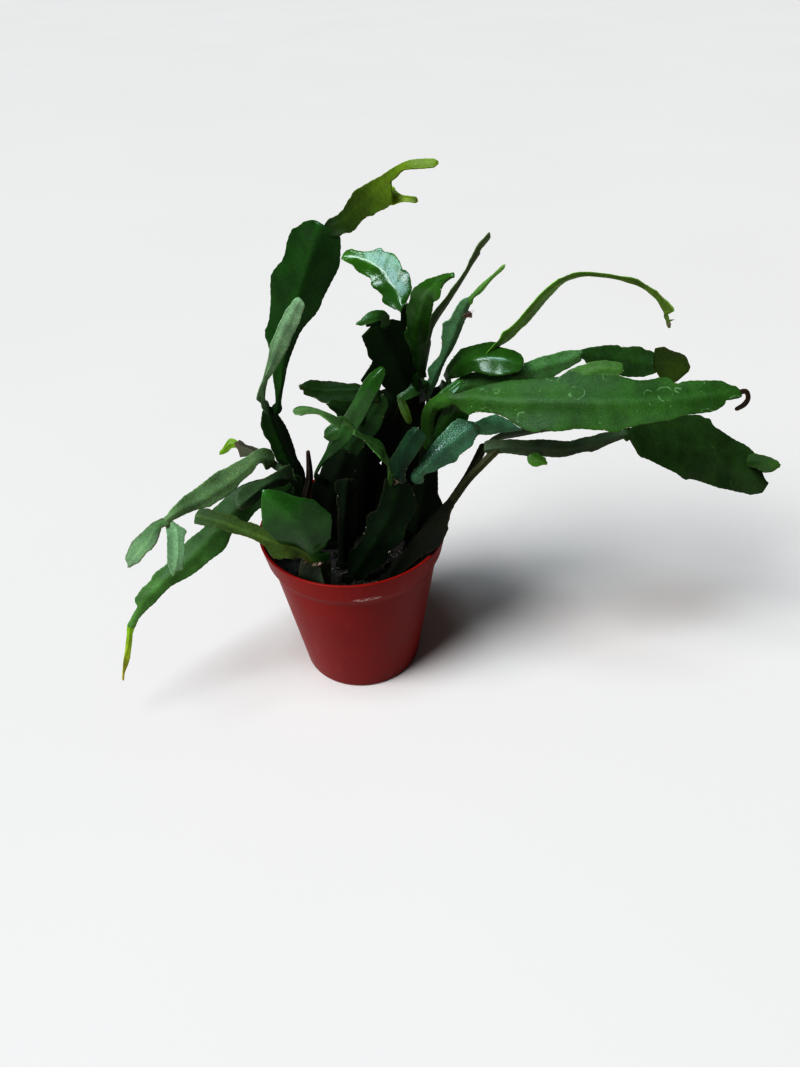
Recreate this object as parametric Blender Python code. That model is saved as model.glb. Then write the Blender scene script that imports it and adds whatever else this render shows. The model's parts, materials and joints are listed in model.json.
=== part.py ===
"""A rhipsalis of flat, notched stem pads in a small plastic nursery pot.

The origin is on the table at the middle of the pot's foot. +Z is up, and the plant is seen from -Y.
Every stem stands in its own hole in the soil and is one solid, with the pads that grow out of it fused.
"""

import math
from dataclasses import dataclass

import bpy
from mathutils import Quaternion, Vector

MM = 0.001

# Pot, in millimetres
POT_RADIUS = 45.0
POT_HEIGHT = 82.5
FOOT_RADIUS = 29.8
FOOT_FLARE = 0.3
FOOT_ROUND = 2.0
ROUND_SHARE = 0.3
BODY_TOP_RADIUS = 40.2
COLLAR_HEIGHT = 14.5
COLLAR_STEP = 3.5
WALL = 1.5
FLOOR_TOP = 2.0
LIP_ROUND = 0.5
DRAIN_RADIUS = 3.2
DRAIN_CIRCLE = 17.0
DRAIN_COUNT = 6
ROUND_SIDES = 40

# The collar's step, as radius and share of COLLAR_STEP above the collar's foot
COLLAR_OUTLINE = ((BODY_TOP_RADIUS, -0.5), (40.7, 0.0), (42.3, 0.6), (42.9, 1.0))

# Soil, in millimetres
SOIL_TOP = 67.5
SOIL_GAP = 0.4
SOIL_RIM_DROP = 4.0
SOIL_CROWN = 0.8
SOIL_RELIEF = 0.5
SOIL_RINGS = 5
SOIL_WAVES = ((0.31, 0.27, 0.5, 1.0), (0.53, -0.41, 0.0, 0.6))

# The buried foot of each stem and its hole, in millimetres
ROOT_BOTTOM = 55.0
ROOT_TOP = 71.5
ROOT_THICKNESS = 4.4
ROOT_SIDES = 12
HOLE_GAP = 0.4
CUT_BEYOND = 1.0

# Pads: how thick a rib, the flat part and an edge are, and how finely a pad is divided
RIB = 2.8
LAMINA = 1.6
EDGE = 1.2
LAMINA_AT = 0.45
STRAP_WIDTH = 10.0
LEAST_HALF_WIDTH = 0.9
STEPS_PER_TOOTH = 4
PLAIN_STEP = 9.0
LEAST_STEPS = 4
NOTCH_POWER = 1.5
SPINE_SAMPLES = 60
SPINE_NEAR = 0.02
VIEWED_FROM = Vector((0.0, -0.78, 0.62))

SHARP_ANGLE = 35.0

# Finishes, as name, colour and roughness
GREEN = ("cactus_green", (0.06, 0.17, 0.05, 1.0), 0.42)
BROWN = ("dry_brown", (0.10, 0.05, 0.03, 1.0), 0.9)
RED = ("pot_red", (0.36, 0.03, 0.025, 1.0), 0.4)
EARTH = ("soil_brown", (0.035, 0.024, 0.018, 1.0), 0.95)


@dataclass
class Pad:
    """One flat stem pad. points are (x, y, z, width) in millimetres from its root to its tip.

    turn is how far its face is turned about its spine at root and tip, in degrees from VIEWED_FROM.
    fold lifts the two edges towards the face, as a share of the half width. A negative one drops them.
    teeth are the notches on each side, and tooth is their depth. rib is the thickness along the middle.
    """

    points: tuple
    turn: tuple = (0, 0)
    fold: float = 0.0
    teeth: int = 0
    tooth: float = 0.0
    rib: float = RIB


@dataclass
class Stem:
    """A stem with all its pads, rooted in the soil at root (x, y).

    root_width is how wide its foot is, and root_turn how far that is turned about Z, in degrees.
    """

    name: str
    root: tuple
    root_width: float
    root_turn: float
    pads: tuple
    dry: bool = False


STEMS = (
    Stem("tall_arch_stem", root=(-23, 12), root_width=9, root_turn=20, pads=(
        # The folded pad at its foot
        Pad(((-23, 12, 70, 9), (-26, 12, 97, 10), (-27, 12, 107, 12), (-30, 12, 118, 12),
             (-32, 11, 130, 11), (-33, 8, 143, 7)),
            turn=(20, 20), fold=-0.45, teeth=3, tooth=1.0, rib=4.0),
        # The slim dull pad that leans forward
        Pad(((-33, 8, 140, 4), (-34, 6, 147, 4), (-32, 0, 160, 5), (-26, -8, 173, 8),
             (-19, -16, 188, 9), (-11, -24, 203, 8), (-9, -26, 207, 5)),
            turn=(45, 10), teeth=5, tooth=0.6, rib=2.2),
        # The tall wavy pad
        Pad(((-31, 9, 139, 4.5), (-26, 8, 153, 5), (-23, 8, 169, 12), (-18, 8, 184, 19.5),
             (-13, 7, 197, 25), (-7, 5, 211, 24.5), (-2, 2, 223, 14.5)),
            turn=(15, -5), fold=-0.25, teeth=4, tooth=1.0),
        # The forked young pad at the top
        Pad(((-1, 2, 220, 4), (6, 1, 223, 9.5), (13, -2, 229, 14.5), (20, -5, 235, 14.5),
             (26, -10, 241, 7.5), (32, -15, 245, 3.5), (41, -18, 247, 3)),
            turn=(15, 0), fold=0.3, teeth=2, tooth=0.5, rib=2.0),
        # The fork's lower prong
        Pad(((18, -5, 234, 8.5), (26, -8, 233, 4), (34, -12, 233, 2.5)), rib=1.8),
    )),
    Stem("left_spray_stem", root=(-30, -4), root_width=8, root_turn=30, pads=(
        # The bare stem over the rim
        Pad(((-30, -4, 70, 8), (-28, -5, 92, 10), (-24, -4, 115, 9)), turn=(40, 30), rib=3.6),
        # The short shoot that points back
        Pad(((-25, -3, 114, 6), (-36, 6, 117, 6.5), (-45, 14, 117, 5.5), (-54, 22, 117, 4.5)),
            turn=(30, 30), teeth=2, tooth=0.4, rib=3.0),
        # Its young tip
        Pad(((-52, 22, 117, 3.5), (-57, 22, 116, 4.5), (-62, 22, 111, 2.5)), rib=1.8),
        # The dusty pad
        Pad(((-33, 3, 117.5, 8), (-38, -2, 120, 10.5), (-43, -7, 120, 11.5), (-52, -16, 118, 13),
             (-62, -26, 117, 10.5), (-69, -33, 116, 5.5), (-75, -38, 116, 4)),
            turn=(0, -15), teeth=3, tooth=0.6),
        # The pale end pad
        Pad(((-73, -37, 117, 3), (-78, -41, 116, 6.5), (-81, -46, 113, 9.5), (-85, -50, 110, 9),
             (-89, -54, 107, 4.5)),
            turn=(10, 25), fold=0.15, teeth=2, tooth=0.4, rib=2.0),
        # The pale hanging pad
        Pad(((-73, -37, 117, 3), (-71, -39, 113, 7.5), (-71, -43, 107, 8.5), (-72, -46, 102, 6),
             (-74, -48, 96, 3)),
            turn=(-15, -25), teeth=2, tooth=1.2, rib=2.0),
        # The short pad in front
        Pad(((-23, -5, 112, 6), (-29, -16, 121, 7.5), (-36, -26, 123, 8.5), (-44, -37, 122, 7)),
            turn=(0, -20), fold=-0.3, teeth=2, tooth=0.5, rib=3.2),
        # The long drooping pad
        Pad(((-25, -4, 111, 6.8), (-39, -7, 109, 12), (-50, -10, 103, 15), (-61, -14, 93, 17),
             (-71, -18, 84, 14.5), (-81, -22, 77, 11.5), (-90, -26, 71, 9.5), (-99, -30, 64, 7),
             (-106, -34, 53, 4)),
            turn=(10, -10), fold=-0.1, teeth=5, tooth=0.9),
        # Its young tip
        Pad(((-105, -33, 56, 3.5), (-108, -37, 45, 4), (-111, -40, 38, 4.4), (-114, -42, 26, 3.4)),
            rib=2.2),
    )),
    Stem("front_stub_stem", root=(-13, -30), root_width=8, root_turn=0, pads=(
        # The cut-off stem
        Pad(((-13, -30, 70, 10), (-14, -32, 89, 10)), fold=-0.2, rib=4.5),
        # The long channelled strap
        Pad(((-13, -32, 86, 6), (-21, -35, 97, 8.5), (-29, -37, 102, 10.5), (-40, -37, 108, 9),
             (-52, -36, 114, 7.5), (-63, -34, 117, 5.5)),
            turn=(-10, 10), fold=0.3, teeth=4, tooth=0.5),
        # The broad shiny pad
        Pad(((-14, -32, 84, 6), (-17, -37, 104, 24), (-23, -39, 119, 22), (-31, -37, 129, 6)),
            turn=(-10, 0), fold=-0.2, teeth=3, tooth=0.6),
    )),
    Stem("front_notched_stem", root=(-1, -24), root_width=10, root_turn=0, pads=(
        # The broad notched pad
        Pad(((-1, -24, 70, 11), (10, -23, 88, 18), (19, -21, 105, 20), (23, -20, 121, 15)),
            turn=(0, 5), fold=-0.1, teeth=4, tooth=2.0, rib=4.0),
        # The blunt pad on its top
        Pad(((22, -20, 116, 5), (26, -20, 135, 10), (32, -20, 146, 8)),
            turn=(-20, -10), fold=-0.2, teeth=2, tooth=0.6, rib=3.2),
        # The grainy pad that leans right
        Pad(((24, -20, 116, 6), (31, -20, 124, 8), (41, -18, 132, 14.4), (49, -15, 137, 16),
             (56, -12, 142, 8)),
            turn=(0, 15), fold=-0.15, teeth=4, tooth=0.9, rib=3.0),
        # The thin strap that leans left
        Pad(((20, -21, 116, 4), (18, -27, 138, 6), (12, -31, 147, 6.5), (3, -34, 158, 5.5),
             (-7, -36, 165, 5.5), (-16, -37, 166, 4)),
            turn=(50, 45), teeth=3, tooth=0.3, rib=2.0),
        # The grainy pad at the right end
        Pad(((52, -13, 139, 4), (64, -7, 138, 9), (78, -2, 132, 4.6)),
            turn=(0, -10), fold=-0.1, teeth=2, tooth=0.4, rib=2.4),
    )),
    Stem("narrow_front_stem", root=(-5, -14), root_width=8, root_turn=0, pads=(
        # The narrow dark pad
        Pad(((-5, -14, 70, 9), (-3, -14, 94, 11), (0, -12, 117, 9)),
            turn=(0, 20), fold=-0.2, teeth=3, tooth=0.7, rib=4.2),
    )),
    Stem("left_centre_stem", root=(-12, 2), root_width=12, root_turn=0, pads=(
        # The dark pad at its foot
        Pad(((-12, 2, 70, 14), (-9, 2, 96, 20), (0, 3, 123, 12)),
            fold=-0.1, teeth=3, tooth=1.2, rib=4.0),
        # The pad on its top
        Pad(((-1, 3, 119, 8), (10, 5, 136, 13), (18, 4, 149, 8)),
            fold=-0.1, teeth=2, tooth=0.8, rib=3.2),
        # The glossy leaning pad
        Pad(((-11, 3, 104, 3.4), (-14, -4, 115, 3.6), (-7, -9, 129, 8), (3, -13, 147, 14),
             (12, -15, 163, 12.5), (19, -14, 171, 6)),
            turn=(-20, -20), fold=-0.2, teeth=3, tooth=0.8),
        # A side lobe of that pad
        Pad(((3, -13, 143, 6), (-3, -12, 141, 8), (-8, -11, 138, 4)), turn=(-10, -10), rib=2.2),
        # The blunt pad that points left
        Pad(((17, 3, 147, 5), (11, 5, 151, 7), (2, 6, 151, 9.5), (-8, 6, 151, 10), (-18, 6, 154, 5)),
            turn=(10, 10), fold=-0.1, teeth=3, tooth=0.8),
        # The small pad under it
        Pad(((10, 5, 135, 4), (3, 0, 143, 9), (-6, -3, 150, 4)),
            turn=(-10, -10), fold=-0.1, teeth=2, tooth=0.6, rib=2.6),
    )),
    Stem("old_centre_stem", root=(4, 13), root_width=9, root_turn=10, pads=(
        # The old pad in the shade
        Pad(((4, 13, 70, 10), (6, 14, 88, 17), (8, 13.5, 112, 17.5)),
            turn=(-15, -10), fold=-0.15, teeth=2, tooth=1.4, rib=4.4),
        # The dark pad on its top
        Pad(((7, 13, 108, 14), (14, 15, 125, 19), (24, 18, 143, 14)),
            fold=-0.1, rib=3.0),
    )),
    Stem("centre_stem", root=(20, 9), root_width=12, root_turn=0, pads=(
        # The dark pad at its foot
        Pad(((20, 9, 70, 13), (25, 9, 101, 15), (32, 11, 146, 10)),
            fold=-0.1, teeth=4, tooth=1.0, rib=4.2),
        # The dark pad on its top
        Pad(((30, 10, 141, 8.8), (23, 6, 164, 20), (19, 3, 177, 21.5), (15, 1, 186, 12)),
            turn=(5, 10), fold=-0.1, teeth=2, tooth=0.7, rib=3.0),
        # The small sharp side shoot
        Pad(((21, 3, 180, 4), (18, -2, 187, 6), (9, -6, 186, 2.2)), rib=2.0),
        # The stalk of the glossy pad
        Pad(((31, 12, 142, 6.2), (30, 13, 166, 7.4), (29, 7, 188, 5)),
            turn=(30, 30), teeth=2, tooth=0.5, rib=3.0),
        # The glossy scalloped pad
        Pad(((29, 8, 183, 4), (27, 13, 188, 10), (24, 18, 192, 16), (20, 24, 196, 16),
             (13, 29, 199, 12), (3, 33, 198.5, 4)),
            turn=(-19, -3), fold=-0.1, teeth=4, tooth=1.5),
        # The upright pad
        Pad(((33, 11, 140, 5), (34, 2, 165, 6), (33, -3, 177, 10), (34, -9, 189, 12),
             (37, -15, 200, 10.5), (41, -20, 206, 6.5), (46, -24, 211, 3)),
            turn=(-10, -20), fold=-0.15, teeth=4, tooth=1.0),
        # The thin blade that points up
        Pad(((33, 11, 141, 5), (42, 22, 172, 6), (52, 29, 186, 6), (66, 38, 205, 3)),
            turn=(66, 66), teeth=4, tooth=0.4, rib=1.8),
        # The pad with a long tip
        Pad(((34, 11, 141, 5), (43, 13, 157, 8.5), (47, 14, 166, 11), (52, 13, 180, 8),
             (55, 13, 187, 4)),
            turn=(20, 30), fold=-0.2, teeth=3, tooth=0.9, rib=2.4),
        # Its long tip
        Pad(((54, 13, 184, 3), (59, 12, 190, 3.5), (64, 11, 196, 4), (69, 10, 201, 2.5)),
            turn=(15, 0), teeth=2, tooth=0.3, rib=2.0),
        # The small pad at the foot of the one with a long tip
        Pad(((38, 11, 150, 3), (31, 8, 149, 7), (24, 6, 145, 3.5)), rib=2.2),
        # The young bud that hangs from it
        Pad(((25, 6, 146, 3), (27, 2, 142, 4.5), (29, -2, 137, 2.5)), rib=1.8),
    )),
    Stem("right_main_stem", root=(28, -3), root_width=9, root_turn=0, pads=(
        # The dark pad at its foot
        Pad(((28, -3, 70, 9.9), (34, -2, 96, 11.2), (38, -4, 128, 8)),
            turn=(0, -20), fold=-0.1, teeth=3, tooth=0.8, rib=4.0),
        # The longest and widest pad
        Pad(((37, -3, 124, 6), (38, -5, 146, 6), (47, -11, 154, 7), (59, -15, 155, 11),
             (70, -20, 156, 15.5), (83, -24, 158, 22), (97, -28, 159, 23), (109, -31, 160, 22),
             (122, -33, 161, 18), (135, -34, 162, 15), (147, -34, 163, 11), (156, -34, 163, 5.5)),
            turn=(5, -15), fold=-0.1, teeth=6, tooth=0.9, rib=3.2),
        # A side lobe of that pad
        Pad(((90, -21, 163, 7), (103, -20, 169, 8.5), (113, -22, 169, 5)), rib=2.0),
        # Its dried curl
        Pad(((152, -34, 162, 2), (157, -34, 164, 2), (159, -34, 161, 2), (158, -34, 158, 2),
             (155, -34, 156, 1.5)),
            rib=1.6),
        # The small pad beside its stalk
        Pad(((38, -5, 143, 4), (44, 0, 149, 6), (52, 4, 154, 3)),
            turn=(-20, -20), fold=0.2, rib=2.0),
        # The short broad pad behind its stalk
        Pad(((38, -4, 126, 8), (43, -5, 137, 14), (47, -7, 146, 15), (49, -8, 153, 10)),
            turn=(0, -10), fold=-0.15, rib=2.6),
    )),
    Stem("back_right_stem", root=(25, 21), root_width=9, root_turn=0, pads=(
        # The dark pad at its foot
        Pad(((25, 21, 70, 10.4), (36, 21, 104, 11.6), (44, 18, 144, 9)),
            turn=(20, 0), fold=-0.1, teeth=4, tooth=0.9, rib=4.0),
        # The domed pad
        Pad(((43, 18, 140, 5), (50, 14, 154, 13), (59, 10, 161, 16), (69, 7, 162, 14),
             (78, 4, 160, 6)),
            turn=(-20, -20), fold=-0.3, teeth=3, tooth=0.6, rib=3.0),
        # The thin arching strap
        Pad(((62, 10, 161, 3.5), (78, 18, 174, 5), (90, 24, 184, 5), (102, 29, 188, 5),
             (118, 31, 186, 5.5), (133, 30, 181, 5.5), (141, 25, 174, 5), (144, 21, 166, 3)),
            turn=(60, 75), teeth=5, tooth=0.3, rib=1.8),
        # The dusty pad
        Pad(((44, 14, 140, 5), (55, 11, 148, 8.5), (69, 11, 149, 12), (85, 12, 154, 13),
             (97, 14, 156, 8.5), (106, 14, 160, 4.5)),
            turn=(10, 15), fold=-0.1, teeth=3, tooth=0.7),
        # The dark blunt pad
        Pad(((104, 14, 160, 4.5), (111, 14, 158, 11), (123, 13, 156, 14.5), (133, 12, 154, 12.5),
             (141, 10, 154, 8.5)),
            turn=(10, 15), teeth=3, tooth=0.7),
        # The olive end pad
        Pad(((136, 10, 154, 5), (140, 7, 156, 14), (145, 4, 156, 14), (148, 1, 155, 7.5)),
            fold=0.2, teeth=1, tooth=0.4, rib=2.2),
    )),
    Stem("right_low_stem", root=(16, -25), root_width=8, root_turn=0, pads=(
        # The pad that leans over the rim
        Pad(((16, -25, 70, 8), (27, -22, 86, 14), (39, -17, 97, 13.4), (46, -15, 105, 5.3)),
            turn=(-10, -30), fold=-0.1, teeth=3, tooth=0.8, rib=3.6),
        # The left stalk
        Pad(((45, -15, 102, 4), (52, -13, 112.5, 4), (56, -11, 119, 4), (61, -9, 130, 3.6)), rib=2.6),
        # The right stalk
        Pad(((45, -15, 102, 3.5), (53, -15.5, 115.5, 3.5), (59, -15.5, 123, 3.5), (66, -15, 131, 3.6)),
            rib=2.6),
        # The blade behind
        Pad(((59, -10, 127, 3.4), (67, -2, 128, 4.5), (80, 3, 128, 6), (100, 7, 127, 4)),
            turn=(60, 60), teeth=2, tooth=0.3, rib=2.2),
        # The low dark strap
        Pad(((60, -14, 130, 3.2), (72, -14, 131, 6.5), (93, -11, 127, 7.5), (109, -7, 127, 6.5),
             (125, -4, 129, 4.5)),
            turn=(15, 15), fold=-0.2, teeth=4, tooth=0.5),
        # Its small bright shoot
        Pad(((79, -12, 128, 2.5), (83, -16, 125, 6), (87, -18, 124, 2.5)), rib=1.8),
        # The broad dark end pad
        Pad(((122, -4, 129, 5), (134, -1, 125, 16), (148, 0, 120, 25.5), (164, 1, 113, 27.5),
             (177, 1, 105, 24), (189, 1, 98, 18), (197, 1, 94, 10.5)),
            turn=(-15, 5), fold=-0.1, teeth=5, tooth=1.0, rib=3.0),
        # Its pale tip pad
        Pad(((178, 4, 106, 3), (190, 1, 107, 7), (198, -3, 107, 3)), rib=1.8),
    )),
    Stem("dry_stub", root=(-23, 3), root_width=4, root_turn=0, pads=(
        # The dead spike
        Pad(((-23, 3, 70, 4), (-22, 7, 92, 4), (-19, 9, 104, 3.6), (-18, 8, 120, 1.8)),
            turn=(30, 30), rib=2.4),
    ), dry=True),
)


def material(name, colour, roughness):
    made = bpy.data.materials.new(name)
    made.use_nodes = True
    shader = made.node_tree.nodes["Principled BSDF"]
    shader.inputs["Base Color"].default_value = colour
    shader.inputs["Roughness"].default_value = roughness
    shader.inputs["Metallic"].default_value = 0.0
    return made


def new_object(name, vertices, faces, finish):
    """An object of a closed mesh given in millimetres."""
    mesh = bpy.data.meshes.new(name)
    mesh.from_pydata([Vector(v) * MM for v in vertices], [], faces)
    mesh.materials.append(finish)
    made = bpy.data.objects.new(name, mesh)
    bpy.context.scene.collection.objects.link(made)
    return made


def apply_boolean(target, tools, operation):
    """Joins or cuts target with every tool at once, and removes the tools."""
    collection = bpy.data.collections.new("tools")
    bpy.context.scene.collection.children.link(collection)
    for tool in tools:
        bpy.context.scene.collection.objects.unlink(tool)
        collection.objects.link(tool)
    modifier = target.modifiers.new("Boolean", "BOOLEAN")
    modifier.operation = operation
    modifier.operand_type = "COLLECTION"
    modifier.collection = collection
    modifier.solver = "EXACT"
    bpy.context.view_layer.objects.active = target
    bpy.ops.object.modifier_apply(modifier=modifier.name)
    for tool in tools:
        bpy.data.objects.remove(tool)
    bpy.data.collections.remove(collection)


def around(count):
    """The angles of count points spread evenly on a circle."""
    return [2 * math.pi * k / count for k in range(count)]


def turned(profile):
    """Vertices and faces of a (radius, height) outline turned about Z, closed by a disc at each end."""
    vertices = []
    for angle in around(ROUND_SIDES):
        vertices += [(r * math.cos(angle), r * math.sin(angle), z) for r, z in profile]
    count = len(profile)
    faces = []
    for k in range(ROUND_SIDES):
        here, there = k * count, (k + 1) % ROUND_SIDES * count
        faces += [(here + i, there + i, there + i + 1, here + i + 1) for i in range(count - 1)]
    faces.append(tuple(k * count for k in reversed(range(ROUND_SIDES))))
    faces.append(tuple(k * count + count - 1 for k in range(ROUND_SIDES)))
    return vertices, faces


def peg(name, centre, half_sizes, turn, heights, finish):
    """A vertical oval prism from the lower to the upper of two heights."""
    spin = math.radians(turn)
    points = []
    for z in heights:
        for angle in around(ROOT_SIDES):
            x = half_sizes[0] * math.cos(angle)
            y = half_sizes[1] * math.sin(angle)
            points.append((centre[0] + x * math.cos(spin) - y * math.sin(spin),
                           centre[1] + x * math.sin(spin) + y * math.cos(spin), z))
    faces = [tuple(reversed(range(ROOT_SIDES))), tuple(range(ROOT_SIDES, 2 * ROOT_SIDES))]
    for k in range(ROOT_SIDES):
        following = (k + 1) % ROOT_SIDES
        faces.append((k, following, ROOT_SIDES + following, ROOT_SIDES + k))
    return new_object(name, points, faces, finish)


def collar_points(inset):
    """The collar's step as (radius, height), moved inwards by inset."""
    foot = POT_HEIGHT - COLLAR_HEIGHT
    return [(radius - inset, foot + COLLAR_STEP * share) for radius, share in COLLAR_OUTLINE]


def build_pot(finish):
    outside = [
        (FOOT_RADIUS - FOOT_ROUND, 0.0),
        (FOOT_RADIUS - FOOT_ROUND * ROUND_SHARE, FOOT_ROUND * ROUND_SHARE),
        (FOOT_RADIUS + FOOT_FLARE, FOOT_ROUND),
        *collar_points(0.0),
        (POT_RADIUS, POT_HEIGHT - LIP_ROUND),
        (POT_RADIUS - LIP_ROUND, POT_HEIGHT),
    ]
    inside = [
        (POT_RADIUS - WALL, POT_HEIGHT),
        *reversed(collar_points(WALL)),
        (FOOT_RADIUS - WALL, FLOOR_TOP),
    ]
    pot = new_object("pot", *turned([*outside, *inside]), finish)
    drains = []
    for k in range(DRAIN_COUNT):
        angle = 2 * math.pi * (k + 0.5) / DRAIN_COUNT
        centre = (DRAIN_CIRCLE * math.cos(angle), DRAIN_CIRCLE * math.sin(angle))
        heights = (-CUT_BEYOND, FLOOR_TOP + CUT_BEYOND)
        drains.append(peg("drain", centre, (DRAIN_RADIUS, DRAIN_RADIUS), 0, heights, finish))
    apply_boolean(pot, drains, "DIFFERENCE")
    return pot


def soil_height(x, y):
    """The soil's surface: a low mound with waves that never repeat quite alike."""
    reach = math.hypot(x, y) / BODY_TOP_RADIUS
    waves = sum(share * math.sin(a * x + b * y + phase) for a, b, phase, share in SOIL_WAVES)
    return SOIL_TOP + SOIL_RELIEF * waves - SOIL_CROWN * reach * reach


def soil_shell():
    """Vertices and triangles of the soil plug: its flat bottom, tapered side and uneven top."""
    wall = WALL + SOIL_GAP
    bottom = FLOOR_TOP + SOIL_GAP
    slope = (BODY_TOP_RADIUS - FOOT_RADIUS) / (POT_HEIGHT - COLLAR_HEIGHT)
    top_radius = FOOT_RADIUS + slope * (SOIL_TOP - SOIL_RIM_DROP) - wall
    vertices = [(0.0, 0.0, bottom)]
    for angle in around(ROUND_SIDES):
        radius = FOOT_RADIUS - wall
        vertices.append((radius * math.cos(angle), radius * math.sin(angle), bottom))
    for ring in range(SOIL_RINGS, 0, -1):
        radius = top_radius * ring / SOIL_RINGS
        for angle in around(ROUND_SIDES):
            x, y = radius * math.cos(angle), radius * math.sin(angle)
            vertices.append((x, y, soil_height(x, y)))
    vertices.append((0.0, 0.0, soil_height(0.0, 0.0)))
    faces = []
    for k in range(ROUND_SIDES):
        following = (k + 1) % ROUND_SIDES
        faces.append((0, 1 + following, 1 + k))
        for ring in range(SOIL_RINGS):
            low, high = 1 + ring * ROUND_SIDES, 1 + (ring + 1) * ROUND_SIDES
            faces.append((low + k, low + following, high + following))
            faces.append((low + k, high + following, high + k))
        inner = 1 + SOIL_RINGS * ROUND_SIDES
        faces.append((inner + k, inner + following, len(vertices) - 1))
    return vertices, faces


def build_soil(finish):
    """The soil plug, with a plain hole for the foot of each stem."""
    soil = new_object("soil", *soil_shell(), finish)
    heights = (ROOT_BOTTOM - HOLE_GAP, ROOT_TOP + CUT_BEYOND)
    holes = []
    for stem in STEMS:
        half_sizes = (stem.root_width / 2 + HOLE_GAP, ROOT_THICKNESS / 2 + HOLE_GAP)
        holes.append(peg("hole", stem.root, half_sizes, stem.root_turn, heights, finish))
    apply_boolean(soil, holes, "DIFFERENCE")
    return soil


def spine_at(points, t):
    """A smooth curve through points of any size, from t = 0 at the first to t = 1 at the last."""
    place = t * (len(points) - 1)
    i = min(int(place), len(points) - 2)
    u = place - i
    before, start = points[max(i - 1, 0)], points[i]
    end, after = points[i + 1], points[min(i + 2, len(points) - 1)]
    found = []
    for a, b, c, d in zip(before, start, end, after):
        bend = 2 * a - 5 * b + 4 * c - d + u * (3 * (b - c) + d - a)
        found.append(b + 0.5 * u * (c - a + u * bend))
    return found


def spine_walk(points):
    """Points along the curve, close enough together to measure it by, and its length."""
    walk = [Vector(spine_at(points, k / SPINE_SAMPLES)[:3]) for k in range(SPINE_SAMPLES + 1)]
    return walk, sum((b - a).length for a, b in zip(walk, walk[1:]))


def even_places(points, steps):
    """The values of t at which the curve's length is divided evenly into steps."""
    walk, total = spine_walk(points)
    reached = 0.0
    places = [0.0]
    k = 0
    for step in range(1, steps):
        target = total * step / steps
        while reached + (walk[k + 1] - walk[k]).length < target:
            reached += (walk[k + 1] - walk[k]).length
            k += 1
        share = (target - reached) / (walk[k + 1] - walk[k]).length
        places.append((k + share) / SPINE_SAMPLES)
    return [*places, 1.0]


def spine_axes(pad, t, share):
    """The directions across a pad and out of its face at t, which is at share of its length."""
    near = Vector(spine_at(pad.points, max(t - SPINE_NEAR, 0.0))[:3])
    far = Vector(spine_at(pad.points, min(t + SPINE_NEAR, 1.0))[:3])
    along = (far - near).normalized()
    face = (VIEWED_FROM - along * VIEWED_FROM.dot(along)).normalized()
    turn = pad.turn[0] + (pad.turn[1] - pad.turn[0]) * share
    face = Quaternion(along, math.radians(turn)) @ face
    return along.cross(face), face


def lobe(pad, share, column):
    """How far the edge stands out at share of the length: 0 in each notch and 1 on each lobe."""
    if not pad.teeth:
        return 0.5
    # The notches of the two sides take turns.
    shift = 0.5 / pad.teeth if column > 0 else 0.0
    within = (share + shift) * pad.teeth % 1.0
    return math.sin(math.pi * within ** NOTCH_POWER)


def end_round(pad, share, length):
    """Narrows a pad to a round end at its root and its tip."""
    root_width, tip_width = pad.points[0][3], pad.points[-1][3]
    from_end = min(share * length / (root_width / 2), (1 - share) * length / (tip_width / 2), 1.0)
    return math.sqrt(max(0.0, 1 - (1 - from_end) ** 2))


def thickness_at(pad, column):
    if column == 0:
        return pad.rib
    return EDGE if abs(column) == 1 else (LAMINA + pad.rib) / 2


def section(pad, t, share, length, columns):
    """The upper and then the lower points across a pad at t."""
    x, y, z, width = spine_at(pad.points, t)
    side, face = spine_axes(pad, t, share)
    rounding = end_round(pad, share, length)
    upper, lower = [], []
    for column in columns:
        wave = pad.tooth * (lobe(pad, share, column) - 0.5)
        half = max(LEAST_HALF_WIDTH, (width / 2 + wave) * rounding)
        middle = Vector((x, y, z)) + side * column * half + face * pad.fold * abs(column) * half
        upper.append(middle + face * thickness_at(pad, column) / 2)
        lower.append(middle - face * thickness_at(pad, column) / 2)
    return upper + lower


def build_pad(pad, finish):
    """A closed solid of one pad, in sections along its spine."""
    widest = max(point[3] for point in pad.points)
    columns = (-1.0, 0.0, 1.0)
    if widest >= STRAP_WIDTH:
        columns = (-1.0, -LAMINA_AT, 0.0, LAMINA_AT, 1.0)
    length = spine_walk(pad.points)[1]
    steps = max(LEAST_STEPS, pad.teeth * STEPS_PER_TOOTH, round(length / PLAIN_STEP))
    rows = []
    for k, t in enumerate(even_places(pad.points, steps)):
        rows.append(section(pad, t, k / steps, length, columns))
    return new_object("pad", *skin(rows, len(columns)), finish)


def skin(rows, count):
    """Vertices and triangles round rows of 2 * count points. The upper and lower face are split alike."""
    vertices = [point for row in rows for point in row]
    faces = []
    for r in range(len(rows) - 1):
        here, there = r * 2 * count, (r + 1) * 2 * count
        for i in range(count - 1):
            a, b, c, d = here + i, here + i + 1, there + i + 1, there + i
            faces += [(a, b, c), (a, c, d)]
            a, b, c, d = a + count, b + count, c + count, d + count
            faces += [(c, b, a), (d, c, a)]
        for i, order in ((0, 1), (count - 1, -1)):
            a, b, c, d = here + i, there + i, there + i + count, here + i + count
            faces += [(a, b, c)[::order], (a, c, d)[::order]]
    last = (len(rows) - 1) * 2 * count
    for start, order in ((0, 1), (last, -1)):
        for i in range(count - 1):
            a, b, c, d = start + i, start + i + 1, start + i + 1 + count, start + i + count
            faces += [(a, d, c)[::order], (a, c, b)[::order]]
    return vertices, faces


def build_stem(stem, finish):
    """A stem: its buried foot with every pad fused to it."""
    half_sizes = (stem.root_width / 2, ROOT_THICKNESS / 2)
    foot = peg(stem.name, stem.root, half_sizes, stem.root_turn, (ROOT_BOTTOM, ROOT_TOP), finish)
    apply_boolean(foot, [build_pad(pad, finish) for pad in stem.pads], "UNION")
    return foot


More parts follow.
